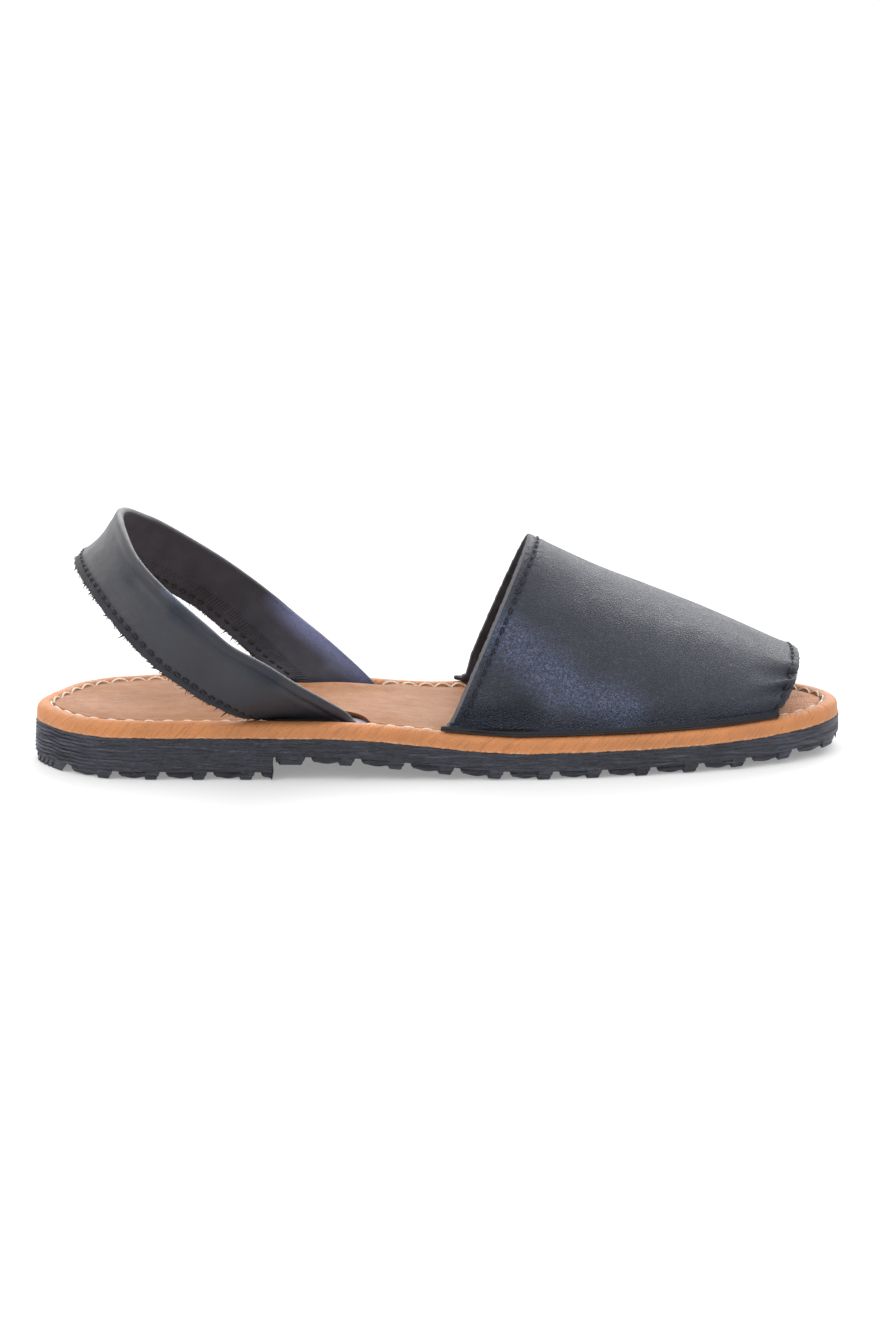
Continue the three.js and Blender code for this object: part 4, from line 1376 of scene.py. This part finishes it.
def strap_frame(t):
    """Lower edge, width direction, width, outward direction and length at each share t of the strap."""
    edges = strap_edges()
    low, high = (centripetal(edge, t) for edge in edges)
    beside = (np.clip(t + 1e-3, 0, 1), np.clip(t - 1e-3, 0, 1))
    ahead, behind = (sum(centripetal(edge, at) for edge in edges) for at in beside)
    span = high - low
    width = np.linalg.norm(span, axis=1)
    out = unit(np.cross(span, ahead - behind))
    return low, span / width[:, None], width, out, run_lengths((low + high) / 2)


def strap_cup(t, share):
    """The band hollows outwards across its width behind the heel. share counts up from its lower edge."""
    return -1.8 * hill(t, 0.47, 0.14) * hill(share, 0.5, 0.36)


WALL_ROWS = 42
FOLD_ROWS = 11
# Raw lower edge of the band: height in mm, then offset as a share of its half thickness over 1.15
STRAP_CUT = ((-0.05, -0.9), (-0.02, -0.45), (0.4, -0.12), (0.8, 0), (0.4, 0.12), (-0.02, 0.45), (-0.05, 0.9))


def strap_section(width, margin, hole, shoulder):
    """Section of the folded band at one place: height above the lower edge and offset outwards."""
    half = STRAP_THICKNESS / 2
    rise = np.concatenate([[0.12, 0.5], np.linspace(1.1, width - half - 0.2, WALL_ROWS - 2)])
    swell = hill(rise, width - 1.9, 1.4) - hill(rise, width - 4.3, 1.0) + 0.4 * hill(rise, width - 6.6, 1.6)
    seam = -(0.2 + 0.35 * hole) * hill(rise, margin, 0.6) + 0.16 * hill(rise, margin * 0.45, 0.8)
    seam = seam + (0.12 - 0.08 * hole) * hill(rise, margin + 1.8, 1)
    outer = np.column_stack([rise, half + shoulder * swell + seam])
    angles = np.linspace(0.12, math.pi - 0.12, FOLD_ROWS)
    fold = np.column_stack([width - half + half * np.sin(angles), half * np.cos(angles) * 1.08])
    inner = np.column_stack([rise[::-1], -half - 0.7 * seam[::-1]])
    return np.concatenate([outer, fold, inner, np.array(STRAP_CUT) * (1, half / 1.15)])


def strap_path(sizes):
    """Places of the strap's stitching along it, with the share of each stitch passed."""
    t = np.linspace(*STRAP_SPAN, 600)
    low, up, *_ = strap_frame(t)
    length = run_lengths(low + up * (sizes.strap_margin / MM))
    count = int(round(length[-1] * MM / sizes.top_pitch))
    return t, length / length[-1] * count, length[-1] / count


def strap_piece(sizes, colours):
    steps = 560
    t = np.linspace(0, 1, steps)
    low, up, width, out, length = strap_frame(t)
    ragged = 0.28 * waver(t, 41, ((17, 1), (47, 0.9), (113, 0.8), (171, 0.6)))
    lumps = 0.18 * waver(t, 42, ((5, 1), (12, 0.7)))
    at, passed, _ = strap_path(sizes)
    holes = hill((np.interp(t, at, passed) % 1) - 0.5, 0, 0.13) * (t > at[0]) * (t < at[-1])
    shoulder = 0.25 + 0.75 * smooth((t - 0.05) / 0.1) * (1 - smooth((t - 0.36) / 0.12))
    shoulder = shoulder * sizes.shoulder / MM
    rings, heights = [], []
    for i in range(steps):
        height, offset = strap_section(width[i], sizes.strap_margin / MM, holes[i], shoulder[i]).T
        rise = height + ragged[i] * (1 - smooth(height / 1.5))
        offset = offset + lumps[i] * hill(height, width[i] * 0.5, width[i] * 0.3)
        offset = offset + strap_cup(t[i], height / width[i])
        rings.append(low[i] + up[i] * rise[:, None] + out[i] * offset[:, None])
        heights.append(height)
    rings = np.stack(rings)
    columns = rings.shape[1]
    faces, corners = tube_faces(steps, columns)
    leather, lining, cut = range(3)
    turned, ended = WALL_ROWS + FOLD_ROWS - 3, 2 * WALL_ROWS + FOLD_ROWS - 1
    marks = [leather if j < turned else lining if j < ended else cut for _, j in corners[::4]]
    for ring in (0, steps - 1):
        faces.append(tuple(range(ring * columns, (ring + 1) * columns)))
        corners += [(ring, j) for j in range(columns)]
        marks.append(leather)
    uv = np.array([(length[i], heights[i][j % columns]) for i, j in corners]) * MM
    napped = sizes.strap_margin * 0.8
    # Painted highlight along the fold, painted shade under it and at the back, painted sheen on the lining
    look = (2100.0, 0.0001, FOLD_PAINTED_HIGHLIGHT, FOLD_PAINTED_SHADE, 0.34, napped)
    parts = [
        black_leather(colours, colours.strap, "strap_leather", *look),
        lining_leather(colours, "strap_lining", 0.25, LINING_PAINTED_SHEEN),
        raw_edge("strap_cut", (0.02, 0.02, 0.022)),
    ]
    points = rings.reshape(-1, 3)
    piece = new_piece("heel_strap_leather", points, faces, parts, marks=marks, uv=uv)
    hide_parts("heel_strap")


class SANDAL_OT_heel_strap(Operator):
    """Builds the folded heel strap with its raw lower edges"""

    bl_idname = "sandal.heel_strap"
    bl_label = "Heel strap"

    def execute(self, context):
        strap_piece(context.scene.sandal_sizes, context.scene.sandal_colours)
        return {"FINISHED"}


# Stitching


def seam_runs(sizes):
    """The footbed seam in two runs, broken at the slots: points, ups, holes and length of a stitch."""
    base, outward, _ = outline_run(2400)
    x = base[:, 0]
    points = np.column_stack([base - outward * (SEAM_INSET - 0.15), deck(x) + 0.82 * CROWN_HEIGHT])
    middle = np.where(base[:, 1] < 0, LATERAL_SLOT_MIDDLE, MEDIAL_SLOT_MIDDLE)
    ups = np.column_stack([outward * 0.15, np.full(len(x), 1)])
    runs = []
    for chosen in (x < middle - SLOT_LENGTH / 2 + 3, x > middle + SLOT_LENGTH / 2 - 3):
        order = np.flatnonzero(chosen)
        breaks = np.flatnonzero(np.diff(order) > 1)
        if len(breaks):
            order = np.roll(order, -(breaks[0] + 1))
        passed = run_lengths(points[order])
        count = int(round(passed[-1] * MM / sizes.seam_pitch))
        holes = along_line(points[order], passed, (np.arange(count) + 0.5) * passed[-1] / count)
        runs.append((points[order], ups[order], holes, passed[-1] / count))
    return runs


def strap_line(height, side, lift):
    """A line on the outer (1) or inner (-1) face of the strap, that face's direction and the width's."""
    t = np.linspace(*STRAP_SPAN, 600)
    low, up, width, out, _ = strap_frame(t)
    offset = side * (STRAP_THICKNESS / 2 - 0.2 + lift) + strap_cup(t, height / width)
    return low + up * height + out * offset[:, None], out * side, up


def stitch_run(row, look, points, ups, pitch, seed):
    """One row of stitches, a little closer than its pitch so that the last one fits."""
    return sew(row, points, ups, {**look, "Pitch": pitch * 0.999 * MM, "Seed": seed})


def footbed_seam(sizes, row, pale):
    bow = sizes.seam_bow
    look = {"Length": sizes.seam_pitch * 0.98, "Thickness": sizes.seam_thread, "Bow": bow, "Rise": bow}
    look |= {"Sway": 0.05, "Thread": pale}
    runs = enumerate(seam_runs(sizes), sizes.seed)
    meshes = [stitch_run(row, look, points, ups, pitch, seed) for seed, (points, ups, _, pitch) in runs]
    join_meshes("seam_thread", meshes, pale)


def top_stitches(sizes, row, black):
    """Black stitches on the vamp's two edges, then those on both faces of the strap."""
    look = {"Length": sizes.top_pitch * 0.66, "Thickness": sizes.top_thread, "Rise": 0.00032, "Sway": 0.1}
    look |= {"Thread": black}
    meshes = []
    for seed, at_throat in enumerate((True, False), sizes.seed + 10):
        _, points, normals, length, count = edge_path(at_throat, sizes)
        meshes.append(stitch_run(row, look, points - normals * 0.16, normals, length[-1] / count, seed))
    join_meshes("vamp_stitching", meshes, black)
    meshes = []
    _, _, pitch = strap_path(sizes)
    for seed, side in enumerate((1, -1), sizes.seed + 20):
        points, ups, _ = strap_line(sizes.strap_margin / MM, side, 0.05)
        meshes.append(stitch_run(row, look, points, ups, pitch, seed))
    join_meshes("strap_stitching", meshes, black)


def fuzz_row(sizes, tree, dark, points, ups, seed, kinds, apart=1.0, longer=1.0):
    """Fibres of several lengths along one edge."""
    meshes = []
    for spacing, scale, thickness in FIBRES[:kinds]:
        values = {"Pitch": spacing * apart, "Thickness": thickness, "Sway": 0.9, "Thread": dark, "Seed": seed}
        values["Length"] = sizes.fuzz_length * scale * longer
        meshes.append(sew(tree, points, ups, values))
    return meshes


def raw_fuzz(sizes, dark):
    """Fibres and a few longer tufts on the strap's lower edge and on the vamp's cut edges."""
    tree = row_tree("Edge fuzz", fibre, True, (1.0, 1.0, 1.0), (0.35, 1.2))
    meshes = []
    for seed, side, kinds in ((30, 1, 4), (31, -1, 2)):
        points, ups, up = strap_line(0.1, side, -0.3)
        meshes += fuzz_row(sizes, tree, dark, points, 0.45 * ups - up, sizes.seed + seed, kinds)
    join_meshes("strap_fuzz", meshes, dark)
    meshes = []
    across = np.linspace(0.03, 0.97, 300)
    for seed, end, kinds, longer in ((40, 0.0, 1, 0.6), (41, 1.0, 2, 0.9)):
        points, inwards = (vamp_outer(np.full(300, u), across, 0.8) for u in (end, abs(end - 0.02)))
        ups = unit(points - inwards)
        meshes += fuzz_row(sizes, tree, dark, points, ups, sizes.seed + seed, kinds, 1.5, longer)
    join_meshes("vamp_fuzz", meshes, dark)


class SANDAL_OT_stitching(Operator):
    """Sews the pale footbed seam and the black top stitching, and raises fuzz on the raw edges"""

    bl_idname = "sandal.stitching"
    bl_label = "Stitching"

    def execute(self, context):
        sizes, colours = context.scene.sandal_sizes, context.scene.sandal_colours
        row = row_tree("Stitch row", arched_thread, False, (0.4, 0.5, 1.0), (0.93, 1.07))
        footbed_seam(sizes, row, thread_material("seam_thread", colours.thread, 0.75))
        top_stitches(sizes, row, thread_material("black_thread", (0.009, 0.009, 0.011), 0.5))
        raw_fuzz(sizes, thread_material("fuzz", (0.02, 0.02, 0.022), 0.9))
        return {"FINISHED"}


# Stage


class SANDAL_OT_stage(Operator):
    """Sets the white paper floor, the soft lights and the camera"""

    bl_idname = "sandal.stage"
    bl_label = "Stage"

    def execute(self, context):
        lay_floor(context.scene.sandal_colours.floor)
        place_camera(context)
        place_lights(context)
        return {"FINISHED"}


def lay_floor(paper):
    look = Look("floor_paper", 0.2)
    look.shader["Emission Color"].default_value = (1, 1, 1, 1)
    look.shader["Emission Strength"].default_value = 0.17
    tone = look.blend(look.noise(look.where, 3.0), tint(paper, 0.99), paper)
    mesh = bpy.data.meshes.new("floor")
    size, low = 6.0, -0.0002
    corners = [(-size, -size, low), (size, -size, low), (size, size, low), (-size, size, low)]
    mesh.from_pydata(corners, [], [(0, 1, 2, 3)])
    mesh.materials.append(look.done(tone, 0.8))
    linked("floor", mesh)


def aimed(made, position, direction):
    """Puts a camera or light in its place, facing a direction."""
    made.location = position
    made.rotation_mode = "QUATERNION"
    made.rotation_quaternion = direction.to_track_quat("-Z", "Y")
    return made


def place_camera(context):
    """The photograph's view: nearly side on, a little behind and above."""
    azimuth, elevation = math.radians(AZIMUTH), math.radians(ELEVATION)
    level = math.cos(elevation)
    back = Vector((math.sin(azimuth) * level, -math.cos(azimuth) * level, math.sin(elevation)))
    data = bpy.data.cameras.new("camera")
    data.sensor_width = 36
    data.lens = data.sensor_width * PHOTO_LENS / PHOTO_HEIGHT
    data.clip_start, data.clip_end = 0.05, 50
    position = Vector(place(AIM).tolist()) + back * DISTANCE
    context.scene.camera = aimed(linked("camera", data), position, -back)


def soft_light(name, power, size, position):
    data = bpy.data.lights.new(name, "AREA")
    data.energy, data.shape = power, "RECTANGLE"
    data.size, data.size_y = size
    aimed(linked(name, data), position, Vector((0, 0, 0.03)) - Vector(position))


def place_lights(context):
    """A white room, brighter ahead and above and dimmer to the left, and two soft lights."""
    world = bpy.data.worlds.new("studio")
    context.scene.world = world
    world.use_nodes = True
    n = Nodes(world.node_tree)
    x, y, z = n.split(n("ShaderNodeTexCoord", out="Generated"))
    bright = n.plus(n.plus(n.times(y, 0.25), n.times(x, -0.03)), n.times(n.maths("MAXIMUM", z, 0.0), 0.25))
    dim = n.maths("POWER", n.maths("MAXIMUM", n.times(x, -1.0), 0.0), 7.0)
    sky = world.node_tree.nodes["Background"].inputs
    n.feed(sky["Strength"], n.plus(bright, n.plus(n.times(dim, -0.6), 0.82)))
    n.feed(sky["Color"], (1, 1, 1))
    soft_light("key", 3.0, (0.6, 0.6), (-0.9, -0.5, 0.9))
    soft_light("back", 10.0, (1.8, 0.8), (0.3, 1.2, 0.75))
    view = context.scene.view_settings
    view.view_transform, view.look, view.exposure = "Standard", "None", 0.58


class SANDAL_PT_panel(Panel):
    """Lists the sandal's sizes, colours and pieces"""

    bl_idname = "SANDAL_PT_panel"
    bl_label = "Sandal"
    bl_space_type = "VIEW_3D"
    bl_region_type = "UI"
    bl_category = "Sandal"

    def draw(self, context):
        layout = self.layout
        scene = context.scene
        for title, values in (("Sizes", scene.sandal_sizes), ("Colours", scene.sandal_colours)):
            box = layout.box()
            box.label(text=title)
            for name in values.__annotations__:
                box.prop(values, name)
        for operator in OPERATORS:
            layout.operator(operator.bl_idname)


OPERATORS = (
    SANDAL_OT_stage,
    SANDAL_OT_outsole,
    SANDAL_OT_footbed,
    SANDAL_OT_vamp,
    SANDAL_OT_heel_strap,
    SANDAL_OT_stitching,
)
CLASSES = (SandalSizes, SandalColours, *OPERATORS, SANDAL_PT_panel)


def register():
    for cls in CLASSES:
        bpy.utils.register_class(cls)
    bpy.types.Scene.sandal_sizes = PointerProperty(type=SandalSizes)
    bpy.types.Scene.sandal_colours = PointerProperty(type=SandalColours)


def unregister():
    del bpy.types.Scene.sandal_colours
    del bpy.types.Scene.sandal_sizes
    for cls in reversed(CLASSES):
        bpy.utils.unregister_class(cls)


def main():
    register()
    for operator in OPERATORS:
        group_name, name = operator.bl_idname.split(".")
        getattr(getattr(bpy.ops, group_name), name)()
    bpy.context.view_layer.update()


if __name__ == "__main__":
    main()
